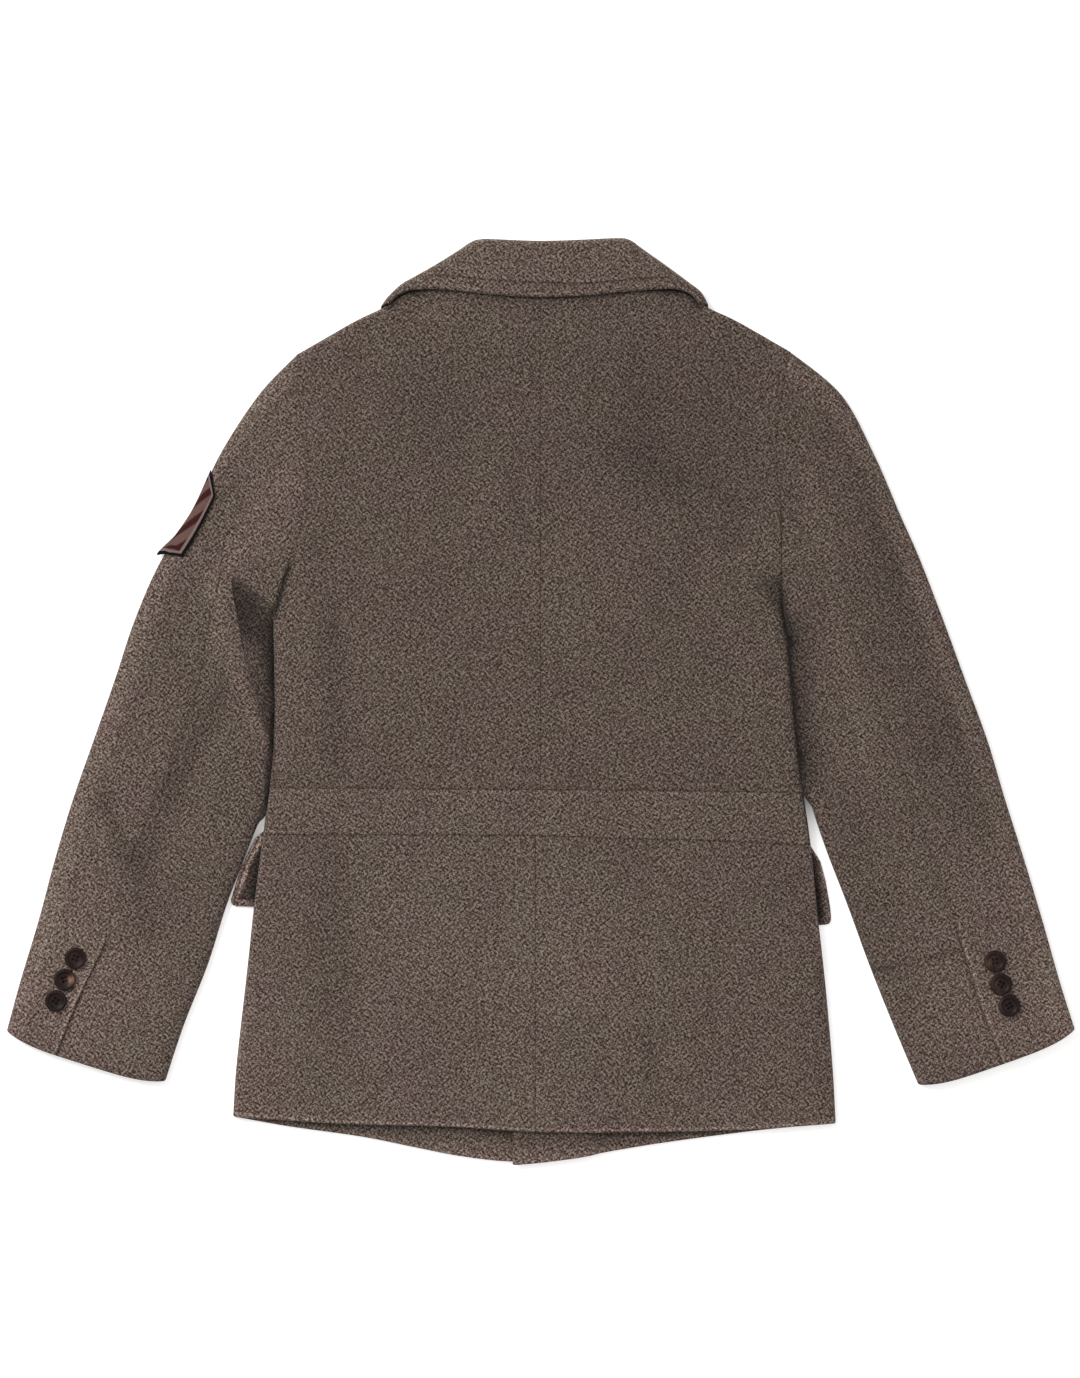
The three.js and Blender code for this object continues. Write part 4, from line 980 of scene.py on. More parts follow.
def flap_tone(side, away, x, y):
    """Shade of a flap: darker inside its stitches, with a painted shadow beside the body and painted lit
    lines that fade downwards.
    """
    from_body = distance_to_line(side_lines[0 if side == "left" else 1], x, y)
    middle = smooth((away - FLAP_STITCH) / FLAP_MIDDLE["ramp"])
    tone = mix(1.0, FLAP_MIDDLE["tone"], middle) * (1 - soft_lines(from_body, FLAP_BESIDE_BODY))
    upper = mix(FLAP_LOWER["light"], 1, smooth((y - FLAP_LOWER["y"]) / FLAP_LOWER["ramp"]))
    return tone + soft_lines(away, *FLAP_LINES[side]) * upper


def flap(side, shape):
    """Pocket flap with soft edges and a sunk line of stitches round it."""
    keys = ("bottom", "top", "outer", "inner")
    bottom, top, outer, inner = (Curve(shape[key], rounded=False) for key in keys)
    edges = (bottom.reversed(), top.reversed(), outer, inner)
    places = coons(edges, *(shares_along(length, FLAP_STEP) for length in FLAP_SIZE))
    x, y = places[..., 0], places[..., 1]
    away = distance_to_lines((outer(POLYLINE_SHARES), bottom(POLYLINE_SHARES)), x, y)
    high = UNDER_WALL + soft_lines(away, *FLAP_RELIEF)
    return flat_piece(f"flap_{side}", places, high, 0, flap_tone(side, away, x, y), "flap")


LAPEL_SIZE = (60, 110)
LAPEL_TONE = 0.95


def lapel(side, outline):
    """Lapel folded back under a front."""
    # Both outlines start at the foot. The left one's points run the other way round.
    way = outline[[0, 4, 3, 2, 1]] if side == "left" else outline
    bottom, top = straight(way[1], way[0]), straight(way[3], way[4])
    left, right = Curve(way[1:4], rounded=False), straight(way[0], way[4])
    places = coons((bottom, top, left, right), *(shares_along(length, HIDDEN_STEP) for length in LAPEL_SIZE))
    return flat_piece(f"lapel_facing_{side}", places, UNDER_WALL, 0, LAPEL_TONE, "lapel")


# Sleeves
def section_at(rows, position):
    i = int(min(len(rows) - 2, math.floor(position)))
    t = position - i

    def pick(k):
        return rows[min(len(rows) - 1, max(0, k))]

    def value(name):
        a, b, c, d = (pick(i + k)[name] for k in (-1, 0, 1, 2))
        bend = (2 * a - 5 * b + 4 * c - d) * t * t + (3 * b - a - 3 * c + d) * t ** 3
        return 0.5 * (2 * b + (c - a) * t + bend)

    return {name: value(name) for name in rows[0]}


SEAM_NEAR = 0.1
SIDE_CLEAR = 0.08
SIDE_NEAR = 5.4
SIDE_REACH = 2.2


def lie_against_side(point, side, turn):
    """Bring a point of a sleeve's inner edge up to the body's side where it is close to it."""
    along = (side_left if side == "left" else side_right).points
    side_x = float(np.interp(point[1], along[:, 1], along[:, 0]))
    away = (side_x - point[0]) * turn
    if away > 0 and point[1] < along[-1, 1]:
        point[0] = mix(point[0], side_x - SIDE_CLEAR * turn, float(smooth((SIDE_NEAR - away) / SIDE_REACH)))


class Section:
    """One section of a sleeve, from its outer folded edge to its inner one."""

    def __init__(self, side, position):
        rows = SLEEVE_LEFT if side == "left" else SLEEVE_RIGHT
        armhole = (armhole_left if side == "left" else armhole_right).reversed()
        facts = section_at(rows, position)
        self.position = position
        self.seam, self.height, self.inner_round = facts["seam"], facts["height"], facts["inner_round"]
        self.outer = np.array((facts["outer_x"], facts["outer_y"]))
        self.inner = np.array((facts["inner_x"], facts["inner_y"]))
        self.web = np.array((facts["web_x"], facts["web_y"]))
        self.width = math.dist(self.outer, self.inner)
        turn = 1 if side == "left" else -1
        for point in (self.inner, self.web):
            lie_against_side(point, side, turn)
        step = self.inner - self.outer
        self.down = np.array((step[1] * turn, -abs(step[0]))) / self.width
        self.arm_share = (1 - float(clamp01(position / ARMHOLE_SECTIONS))) ** 2
        self.vent = float(smooth((position - VENT_START[side]) / VENT_RAMP))
        from_cuff = len(rows) - 1 - position
        self.cuff_share = float(clamp01(1 - from_cuff / CUFF_BOW_SECTIONS)) ** 2
        self.armhole = armhole
        self.clear = np.array((SEAM_NEAR * turn, 0))

    def span(self, layer):
        """Where a layer starts and ends, how far its fold rounds, and from which edge it counts."""
        seam, forearm = self.seam * self.width, FOREARM_SEAM * self.width
        if layer == "top":
            return seam - HALF_GAP, forearm - HALF_GAP, OUTER_ROUND, lambda distance: distance
        start, end = self.width - seam - HALF_GAP, self.width - forearm - HALF_GAP
        return start, end, self.inner_round, lambda distance: self.width - distance

    def place(self, distance):
        t = np.asarray(distance, float) / self.width
        chord = mix(self.armhole(0.0), self.armhole(1.0), t[..., None])
        bow = CUFF_BOW * self.cuff_share * (1 - (2 * clamp01(t) - 1) ** 4)
        place = mix(self.outer, self.inner, t[..., None])
        place = place + (self.armhole(t) + self.clear - chord) * self.arm_share
        return place + self.down * bow[..., None]

    def top(self, distance, wall):
        share = quarter_round((distance - wall) / (OUTER_ROUND - wall)) * quarter_round(
            (self.width - distance - wall) / (self.inner_round - wall)
        )
        place = self.place(distance)
        fold = fold_height(place[..., 0], place[..., 1]) * smooth(share)
        if wall > 0:
            fold = np.minimum(OPEN_FOLD_LIMIT, fold)
        return FOLD_MIDDLE + (self.height - wall - FOLD_MIDDLE) * share + fold, share


FOLD_STEPS = 27
FOLD_ANGLES = np.linspace(math.pi / 2, -math.pi / 2, FOLD_STEPS)
ACROSS_SHARES = np.concatenate([[0, 0.008, 0.016, 0.026, 0.036, 0.05, 0.07, 0.1], np.linspace(0.13, 1, 29)])
FLOOR_STEPS = 12
# Painted light on the top layer's folded outer edge
FOLD_LIGHT = 0.22
NEAR_FOLD = smooth((ACROSS_SHARES - 0.9) / 0.1)
WEB_FOOT = 0.6
WEB_LEAST = 0.4
WEB_FULL = 1.4
WEB_RUN = 14
WEB_FROM = 6
WEB_SKIP = 2
WEB_SINK = 0.5
WEB_FALL = 2.4


def web_path(section, fold_points):
    """The fold's points with its lower layer reaching out to the body's side, below the armpit."""
    reach = math.dist(section.web, section.inner)
    spread = float(smooth((reach - WEB_LEAST) / (WEB_FULL - WEB_LEAST)))
    if spread <= 0:
        return fold_points
    upper = WEB_FROM + WEB_SKIP
    run = np.linspace(0, 1, WEB_RUN)
    start = fold_points[upper - 1]
    end = np.array([*section.web, UNDER_WALL])
    across = mix(start, end, run[:, None])
    across[:, 2] = mix(start[2], UNDER_WALL - WEB_SINK, 1 - (1 - run) ** WEB_FALL)
    under = np.array([*section.web, WEB_FOOT])
    back = mix(under, fold_points[-1], np.linspace(0.0, 1, FOLD_STEPS - upper - WEB_RUN)[:, None])
    path = np.vstack([fold_points[:upper], across, back])
    return mix(fold_points, path, spread)


VENT_START = dict(left=9.88, right=9.62)
VENT_RAMP = 0.25
VENT_STEPS = dict(top=1.1, under=-0.5)
VENT_SETTLE = dict(start=2, ramp=14)
VENT_OVERLAP = 1.6
VENT_EDGE_DIP = (0, 0.8, -0.4)
VENT_STITCH_DIP = (2.6, 0.7, -0.3)
ELBOW_SEAM_DIP = (0, 1.4, -0.45)
ELBOW_SEAM_SHADE = (0, 1.2, -0.1)
ARMHOLE_DIP = (0, 1.6, -0.5)
# Painted light and shade at the vent: a lit edge on the top sleeve, and a painted shadow at the step on the
# under one
VENT_SHADES = dict(
    top=((1.2, 0.8, 0.7),),
    under=((VENT_OVERLAP + 0.4, 1.1, -0.5), (VENT_OVERLAP, 4, -0.12)),
)


def seam_tone(vent, length, layer):
    """Painted shade beside the elbow seam: a faint line, which turns into the vent's painted lines near the
    cuff.
    """
    away = ACROSS_SHARES * (length + VENT_OVERLAP * vent if layer == "top" else length)
    return mix(soft_lines(away, ELBOW_SEAM_SHADE), soft_lines(away, *VENT_SHADES[layer]), vent)


def vent_step(vent, from_seam, layer):
    settle = 1 - smooth((from_seam - VENT_SETTLE["start"]) / VENT_SETTLE["ramp"])
    return vent * VENT_STEPS[layer] * settle


def seam_height(section, from_seam, layer):
    """Dips at the elbow's seam and the armhole, and the step and stitches of the vent."""
    vent = section.vent
    height = (1 - vent) * soft_lines(from_seam, ELBOW_SEAM_DIP) + vent_step(vent, from_seam, layer)
    if layer == "top":
        height = height + vent * soft_lines(from_seam + VENT_OVERLAP * vent, VENT_EDGE_DIP)
        height = height + vent * soft_lines(from_seam, VENT_STITCH_DIP)
    return height + soft_lines(section.position * SECTION_STEP, ARMHOLE_DIP)


def sleeve_wrap(section, layer, wall):
    """Points of one sleeve piece from the elbow seam over its folded edge to the seam below."""
    start, end, rounding, turn = section.span(layer)
    floor_round = max(WEB_FOOT, FLOOR_ROUND - wall * WEB_FOOT)
    lowest = SLEEVE_WALL + SEAM_GAP if wall > 0 else 2 * SLEEVE_WALL + SEAM_GAP
    overlap = VENT_OVERLAP * section.vent if layer == "top" else 0
    across = mix(start + overlap, rounding, ACROSS_SHARES)
    height, share = section.top(turn(across), wall)
    place = section.place(turn(across))
    x, y = place[:, 0], place[:, 1]
    from_seam = np.abs(across - start)
    if wall == 0:
        height = height + (crease_height(x, y) + unevenness(x, y)) * smooth(share)
        height = height + seam_height(section, from_seam, layer)
    elif layer == "top":
        height = height + vent_step(section.vent, from_seam, layer)
    top = with_height(place, np.maximum(height, lowest))
    reach = np.where(FOLD_ANGLES > 0, rounding - wall, floor_round)
    rise = np.where(FOLD_ANGLES > 0, top[-1, 2] - FOLD_MIDDLE, FOLD_MIDDLE - wall)
    fold_distance = turn(wall + reach * (1 - np.cos(FOLD_ANGLES)))
    fold = with_height(section.place(fold_distance), FOLD_MIDDLE + rise * np.sin(FOLD_ANGLES))
    if wall == 0 and layer == "under":
        fold = web_path(section, fold)
    floor_distance = turn(np.linspace(wall + floor_round, end, FLOOR_STEPS + 1)[1:])
    return np.vstack([top, fold[1:], with_height(section.place(floor_distance), wall)])


SLEEVE_STATIONS = np.concatenate([
    [0, 0.012, 0.03, 0.055, 0.09, 0.14, 0.2], np.linspace(0.28, 11.85, 142), [11.93, 12],
])


# Painted shade and light along lines: its reach to both sides, and the share of light that is lost, or won
# below 0.
SHADE_COLUMNS = ("x0", "y0", "x1", "y1", "reach", "loss")
# Painted shade on the lower layer in the left armpit's pocket
HOLLOWS = table(SHADE_COLUMNS, [
    (-213, 82, -207, 50, 7, 0.53),
    (-201, 70, -197, 46, 9, 0.53),
    (-191, 58, -188, 14, 6, 0.45),
    (-187, 54, -186, -20, 3.4, 0.75),
    (-191, 32, -189, -6, 8, 0.42),
])
# Sleeves, in painted shade and light: beside the body, then the elbow's folds, the ridge by the pocket, and
# pressed lines.
SLEEVE_SHADES = table(SHADE_COLUMNS, [
    (-187, 62, -177, 92, 2.0, 0.6),
    (-187, -10, -191, -66, 2.6, 0.72),
    (-192, -68, -199, -94, 2.0, 0.55),
    (168, 76, 174, 40, 4.0, 0.62),
    (173, 44, 181, -40, 3.4, 0.66),
    (176, 50, 185, -46, 11, 0.46),
    (181, -38, 187, -78, 3.2, 0.62),
    (-222, 6, -258, -60, 8, 0.15),
    (-258, -60, -280, -112, 9, 0.17),
    (-280, -112, -278, -159, 11, 0.17),
    (-306, -65, -294, -104, 6, 0.18),
    (-167, 161, -209, 105, 12, -0.10),
    (-209, 105, -228, 76, 9, -0.10),
    (-228, 76, -225, 48, 6, -0.14),
    (-225, 48, -212, 15, 6, -0.18),
    (-212, 15, -195, -27, 5, -0.16),
    (232, 152, 248, 86, 10, 0.13),
    (248, 86, 281, -18, 12, 0.09),
    (281, -18, 314, -84, 12, 0.11),
    (187, 170, 201, 86, 9, -0.07),
    (224, -36, 271, -168, 14, -0.07),
    (233, -189, 262, -183, 1.1, 0.42),
    (262, -183, 294, -172, 1.1, 0.38),
    (-231, 34, -247, -11, 0.9, 0.2),
    (-247, -11, -258, -40, 0.9, 0.14),
])
# Body: painted shade and light at the armholes and sides, then in soft folds, and single marks.
BODY_SHADES = table(SHADE_COLUMNS, [
    (-186, 60, -176, 94, 2.0, 0.8),
    (-187, 40, -186, -60, 1.0, 0.25),
    (-164, 176, -164, 130, 3.5, 0.1),
    (168.6, 134, 169.4, 88, 1.1, 0.5),
    (160, 79, 168, 66, 4.5, 0.38),
    (167, 84, 171, 50, 3.4, 0.62),
    (171, 56, 182, -50, 1.5, 0.55),
    (181, -44, 188, -92, 1.2, 0.3),
    (154, 84, 166, 84, 6, 0.14),
    (-160, 114, -149, 48, 10, 0.10),
    (-149, 48, -143, -46, 10, 0.12),
    (-150, -108, -146, -226, 11, 0.12),
    (50, 171, 111, 152, 14, 0.12),
    (64, 180, 120, 114, 14, 0.08),
    (130, 142, 135, 114, 6, 0.14),
    (118, 138, 111, 48, 6, -0.08),
    (-21, 157, -13, 119, 5, 0.16),
    (82, 64, 84, 60, 6, 0.17),
    (62, 42, 64, 38, 5, 0.1),
    (75, -234, 80, -281, 7, 0.1),
    (163, -133, 163, -138, 14, 0.1),
    (45, -112, 65, -112, 18, 0.07),
])


def light_left(rows, x, y):
    """Share of painted light that is left beside the lines of a table."""
    light = np.ones(np.shape(x))
    for row in rows:
        light *= 1 - row["loss"] * hill(distance_to_row(x, y, row), row["reach"])
    return light


def sleeve_tones(section, layer, count):
    """Painted light and shade round a section: at its seam, and on the top layer's folded edge."""
    start, _, rounding, _ = section.span(layer)
    fold_light = FOLD_LIGHT if layer == "top" else 0
    across = seam_tone(section.vent, abs(start - rounding), layer) + NEAR_FOLD * fold_light
    return np.concatenate([across, np.full(count - len(across), fold_light)])


def sleeve_piece(side, layer):
    sections = [Section(side, position) for position in SLEEVE_STATIONS]
    outer = np.array([sleeve_wrap(section, layer, 0) for section in sections])
    inner = np.array([sleeve_wrap(section, layer, SLEEVE_WALL) for section in sections])
    seams = np.array([sleeve_tones(section, layer, outer.shape[1]) for section in sections])
    around = np.array([lengths_along(ring) for ring in outer])
    along = np.broadcast_to(-SECTION_STEP * SLEEVE_STATIONS[:, None], around.shape)
    x, y = outer[..., 0], outer[..., 1]
    # Painted light and shade of the sleeve: slow changes, creases, seams and the lines of SLEEVE_SHADES
    tone = (slow_shade(x, y) + painted_crease_shade(x, y) + seams) * light_left(SLEEVE_SHADES, x, y)
    # Painted shade deep in the left armpit's pocket, on the lower layer only
    if layer == "under":
        in_pocket = np.arange(x.shape[1]) >= len(ACROSS_SHARES) + WEB_FROM
        tone = tone * np.where(in_pocket, light_left(HOLLOWS, x, y), 1)
    return cloth_piece(f"sleeve_{layer}_{side}", outer, inner, np.stack([around, along], -1), tone, "sleeve")


# Collar
COLLAR_STATIONS = 150
COLLAR_EDGE = (0, 0.5, 1.0, 1.6)
COLLAR_EDGE_END = 2.4
COLLAR_STEPS = 40
ROLL_ROUND = 8
ROLL_SHARE = 0.72
ROLL_MIDDLE = 0.42
ROLL_UPPER = np.linspace(math.pi / 2, 0, 12)[1:]
ROLL_LOWER = np.linspace(0, -math.pi / 2, 7)[1:]
LEAF_FLAT = 2.4
LEAF_LEAST = 3.4
LEAF_STEPS = 13
COLLAR_STITCH = (9.4, 7.6)
COLLAR_STITCH_OVER = 40
COLLAR_SWELL = dict(height=0.25, length=19, place=0.6, reach=9)
STITCH_DIP = (0, 0.8, -0.4)
EDGE_DIP = (0, 1.0, -0.45)
# Painted shade and light at the sunk stitches and the free edge, and painted light on the roll, as lines for
# soft_lines
STITCH_SHADES = ((0, 0.75, -0.6), (1.5, 0.8, 0.3))
EDGE_SHADES = ((0, 0.7, -0.25), (2.0, 1.6, 0.22))
ROLL_LIGHT = (0, 1.8, 0.5)
COLLAR_TONE = 1.06
COLLAR_UNDER_TONE = 1.02


def under_collar_height(points):
    x, y = points[..., 0], points[..., 1]
    outer = BackFields(x, y).outer()
    return np.where(y < NECK_Y, outer, CROWN_INNER + BACK_WALL)


class CollarSection:
    """One section of the collar, from its free edge over the roll to the leaf beneath."""

    def __init__(self, row, roll, free, under):
        self.wall, self.leaf = row["wall"], row["leaf"]
        self.roll, self.free = roll, free
        self.width = math.dist(roll, free)
        self.crest = under + self.wall
        self.middle = self.crest * ROLL_MIDDLE
        self.rounding = min(ROLL_ROUND, self.width * ROLL_SHARE)
        flat = self.width - self.rounding
        steps = np.concatenate([COLLAR_EDGE, np.linspace(COLLAR_EDGE_END, flat, COLLAR_STEPS)])
        self.from_free = steps * flat / max(flat, COLLAR_EDGE_END)
        self.stitch = mix(*COLLAR_STITCH, float(smooth(free[0] / COLLAR_STITCH_OVER)))

    def relief(self):
        """Sunk stitches, a rounded edge, and a low swell that comes and goes along the collar."""
        swell = COLLAR_SWELL["height"] * np.sin(self.roll[0] / COLLAR_SWELL["length"] + 1)
        from_swell = self.width * (1 - COLLAR_SWELL["place"]) - self.from_free
        seams = soft_lines(self.from_free - self.stitch, STITCH_DIP) + soft_lines(self.from_free, EDGE_DIP)
        return seams + swell * hill(from_swell, COLLAR_SWELL["reach"])

    def ring(self, wall, floor_wall):
        """Points round the section: of its outer face where wall is 0, else of its inner one."""
        reach = wall + (self.rounding - wall) * (1 - np.cos(ROLL_UPPER))
        across = np.concatenate([self.width - self.from_free, reach])
        above = mix(self.roll, self.free, (across / self.width)[:, None])
        leaf = np.linspace(wall + LEAF_FLAT, max(self.leaf, wall + LEAF_LEAST), LEAF_STEPS + 1)[1:]
        down = np.concatenate([wall + LEAF_FLAT * (1 - np.cos(ROLL_LOWER)), leaf])
        below = self.roll - np.column_stack([0 * down, down])
        flat = np.full(len(self.from_free), self.crest - wall)
        heights = np.concatenate([
            flat if wall else flat + self.relief(),
            mix(self.middle, self.crest - wall, np.sin(ROLL_UPPER)),
            mix(self.middle, floor_wall, -np.sin(ROLL_LOWER)),
            np.full(len(leaf), float(floor_wall)),
        ])
        return with_height(np.vstack([above, below]), heights)

    # Painted shade in the sunk stitches and at the free edge, with painted light beside them and on the roll
    def tone(self, count):
        seams = soft_lines(self.from_free - self.stitch, *STITCH_SHADES)
        seams = seams + soft_lines(self.from_free, *EDGE_SHADES)
        rest = np.full(count - len(seams), COLLAR_UNDER_TONE)
        rest[:len(ROLL_UPPER)] += soft_lines(self.rounding * (1 - np.cos(ROLL_UPPER)), ROLL_LIGHT)
        return np.concatenate([COLLAR_TONE + seams, rest])


def collar_fall():
    facts = [section_at(COLLAR, t) for t in np.linspace(0, len(COLLAR) - 1, COLLAR_STATIONS)]
    rolls = line([(row["roll_x"], row["roll_y"]) for row in facts])
    frees = line([(row["edge_x"], row["edge_y"]) for row in facts])
    under = np.maximum(BackFields(*frees.T).outer(), under_collar_height((rolls + frees) / 2)) + SEAM_GAP
    sections = [CollarSection(*parts) for parts in zip(facts, rolls, frees, under)]
    outer = np.array([section.ring(0, 0) for section in sections])
    inner = np.array([section.ring(section.wall, min(UNDER_WALL, section.wall)) for section in sections])
    tone = np.array([section.tone(outer.shape[1]) for section in sections])
    tone = tone * slow_shade(outer[..., 0], outer[..., 1])
    around = np.array([lengths_along(ring) for ring in outer])
    along = np.broadcast_to(frees[:, :1], around.shape)
    return cloth_piece("collar", outer, inner, np.stack([along, around], -1), tone, "collar")


STAND = dict(half=54, half_top=47, above=3.9, height=27, lowered=4.6, size=(108, 24), tone=0.9)


def collar_stand():
    seam_y, top_y = NECK_Y + STAND["above"], NECK_Y + STAND["height"]
    bottom = straight((-STAND["half"], seam_y), (STAND["half"], seam_y))
    top = straight((-STAND["half_top"], top_y), (STAND["half_top"], top_y))
    edges = (bottom, top, straight(bottom(0.0), top(0.0)), straight(bottom(1.0), top(1.0)))
    places = coons(edges, *(shares_along(length, HIDDEN_STEP) for length in STAND["size"]))
    low = mix(CROWN_INNER, STAND["lowered"], smooth((places[..., 1] - NECK_Y) / STAND["height"]))
    return flat_piece("stand", places, low + BACK_WALL, low, STAND["tone"], "seamed")


# Patch
PATCH_LOW_ANGLE = -0.5
PATCH_STATIONS = 60
PATCH_STEPS = 36
PATCH_FLAT_STEPS = 8
PATCH_START = 0.4
PATCH_LENGTH = 68
PATCH_BORDER = 2.3
PATCH_BORDER_RISE = 0.3
PATCH_BORDER_RAMP = 0.6
# How the patch's lowest corner stands off the sleeve
PATCH_FLARE = 6.0
PATCH_FLARE_FROM = 3.48
PATCH_FLARE_OVER = 0.32
PATCH_FLARE_POWER = 9
PATCH_FLARE_WAY = np.array((-0.9, -0.44))


def patch_start(section, inset, crest):
    """Distances and heights of the flat part, or of a short start on the fold, and its angle."""
    back = np.linspace(1, 0, PATCH_FLAT_STEPS, endpoint=False)
    if inset > OUTER_ROUND:
        distances = OUTER_ROUND + (inset - OUTER_ROUND) * back
        return distances, section.top(distances, 0)[0], math.pi / 2
    distances = inset + PATCH_START * back
    angles = np.arccos(np.clip(1 - distances / OUTER_ROUND, -1, 1))
    return distances, FOLD_MIDDLE + crest * np.sin(angles), math.acos(1 - inset / OUTER_ROUND)


def patch_section(section, inset, lift):
    """Points over the sleeve's outer fold, moved out by lift."""
    crest = float(section.top(np.array([float(OUTER_ROUND)]), 0)[0][0]) - FOLD_MIDDLE
    distances, heights, highest = patch_start(section, inset, crest)
    flat = with_height(section.place(distances), heights + lift)
    angles = np.linspace(highest, PATCH_LOW_ANGLE, PATCH_STEPS)
    rise = np.where(angles > 0, crest, FOLD_MIDDLE)
    reach = np.where(angles > 0, OUTER_ROUND, FLOOR_ROUND)
    across, up = -np.cos(angles) / OUTER_ROUND, np.sin(angles) / rise
    size = np.hypot(across, up)
    place = section.place(reach * (1 - np.cos(angles)) + across / size * lift)
    flare = PATCH_FLARE * float(smooth((section.position - PATCH_FLARE_FROM) / PATCH_FLARE_OVER))
    place = place + flare * np.cos(angles)[:, None] ** PATCH_FLARE_POWER * PATCH_FLARE_WAY
    fold = with_height(place, FOLD_MIDDLE + rise * np.sin(angles) + up / size * lift)
    return np.vstack([flat, fold])


def patch():
    positions = np.linspace(PATCH[0]["section"], PATCH[-1]["section"], PATCH_STATIONS)
    insets = np.interp(positions, [row["section"] for row in PATCH], [row["inset"] for row in PATCH])
    sections = [(Section("left", position), inset) for position, inset in zip(positions, insets)]
    outer = np.array([patch_section(*parts, PATCH_LIFT + PATCH_WALL) for parts in sections])
    inner = np.array([patch_section(*parts, PATCH_LIFT) for parts in sections])
    along = np.linspace(0, PATCH_LENGTH, PATCH_STATIONS)[:, None]
    across = np.array([lengths_along(ring) for ring in outer])
    edge = np.minimum(np.minimum(along, PATCH_LENGTH - along), across)
    on_border = smooth((PATCH_BORDER + PATCH_BORDER_RISE - edge) / PATCH_BORDER_RAMP)
    outer[..., 2] += PATCH_BORDER_RISE * on_border
    grain = np.stack([across, np.broadcast_to(along, across.shape)], -1)
    return cloth_piece("patch", outer, inner, grain, edge, "patch")


# Buttons
BUTTON_AROUND = 72
BUTTON_PROFILE = line([
    (0.0, 0.60), (0.10, 0.60), (0.2, 0.61), (0.3, 0.63), (0.4, 0.65), (0.5, 0.68), (0.58, 0.73), (0.64, 0.8),
    (0.69, 0.9), (0.75, 0.97), (0.82, 1.0), (0.9, 0.97), (0.96, 0.87), (0.99, 0.7), (1.0, 0.5),
    (0.985, 0.33), (0.93, 0.16), (0.84, 0.04), (0.7, 0.0), (0.35, 0.0), (0.0, 0.0),
])
BUTTON_RINGS = 64
BUTTON_FACE = 0.5
HOLES = 4
HOLE = dict(away=0.24, edge=0.125, ramp=0.05, depth=0.45)
SPOT = dict(away=0.6, reach=0.33)
FRONT_BUTTON_TURN = 0.3


def button_vertices(radius, thickness, turn):
    """Turned button: a rim, a dished face and four holes."""
    along = lengths_along(BUTTON_PROFILE)
    stations = np.linspace(0, along[-1], BUTTON_RINGS)[1:-1]
    r, z = (np.interp(stations, along, BUTTON_PROFILE[:, k])[:, None] for k in (0, 1))
    angle = np.linspace(0, 2 * math.pi, BUTTON_AROUND, endpoint=False)
    x, y = r * np.cos(angle), r * np.sin(angle)
    height = np.broadcast_to(z, x.shape)
    face = (np.arange(len(r)) < len(r) * BUTTON_FACE)[:, None]
    for hole in turn + np.arange(HOLES) * 2 * math.pi / HOLES:
        away = np.hypot(x - HOLE["away"] * math.cos(hole), y - HOLE["away"] * math.sin(hole))
        height = height - np.where(face, HOLE["depth"] * smooth((HOLE["edge"] - away) / HOLE["ramp"]), 0)
    rings = np.stack([x * radius, y * radius, height * thickness], -1).reshape(-1, 3)
    ends = np.array([[0, 0, BUTTON_PROFILE[0][1] * thickness], [0, 0, 0]])
    return np.vstack([rings, ends]), len(r)


def button_object(name, radius, thickness, turn):
    vertices, count = button_vertices(radius, thickness, turn)
    grid = np.arange(count * BUTTON_AROUND).reshape(count, BUTTON_AROUND)
    a, b = grid[:-1], grid[1:]
    faces = np.stack([a, b, np.roll(b, -1, 1), np.roll(a, -1, 1)], -1).reshape(-1, 4).tolist()
    top, low = len(vertices) - 2, len(vertices) - 1
    faces += [(top, int(p), int(q)) for p, q in zip(grid[0], np.roll(grid[0], -1))]
    faces += [(low, int(q), int(p)) for p, q in zip(grid[-1], np.roll(grid[-1], -1))]
    mesh = bpy.data.meshes.new(name)
    mesh.from_pydata((vertices * MM).tolist(), [], faces)
    mesh.update()
    mesh.polygons.foreach_set("use_smooth", np.ones(len(mesh.polygons), bool))
    return bpy.data.objects.new(name, mesh)


def placed_button(name, node, radius, turn, face_up=True, spot_at=0.0, spot=0.0):
    low, high = (Vector(corner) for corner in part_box(node))
    thickness = (high.z - low.z) / MM
    piece = button_object(name, radius, thickness, turn)
    spot_x, spot_y = (SPOT["away"] * radius * part for part in (math.cos(spot_at), math.sin(spot_at)))
    away = [math.hypot(v.co.x / MM - spot_x, v.co.y / MM - spot_y) for v in piece.data.vertices]
    keep_values(piece, "spot", "FLOAT", spot * hill(np.array(away), SPOT["reach"] * radius))
    for vertex in piece.data.vertices:
        z = vertex.co.z if face_up else (thickness * MM - vertex.co.z)
        vertex.co = ((low.x + high.x) / 2 + vertex.co.x, (low.y + high.y) / 2 + vertex.co.y, low.z + z)
    if not face_up:
        piece.data.flip_normals()
    bpy.context.scene.collection.objects.link(piece)
    return piece


# Materials
SLANT = (0.7, 0.5, 0.3)


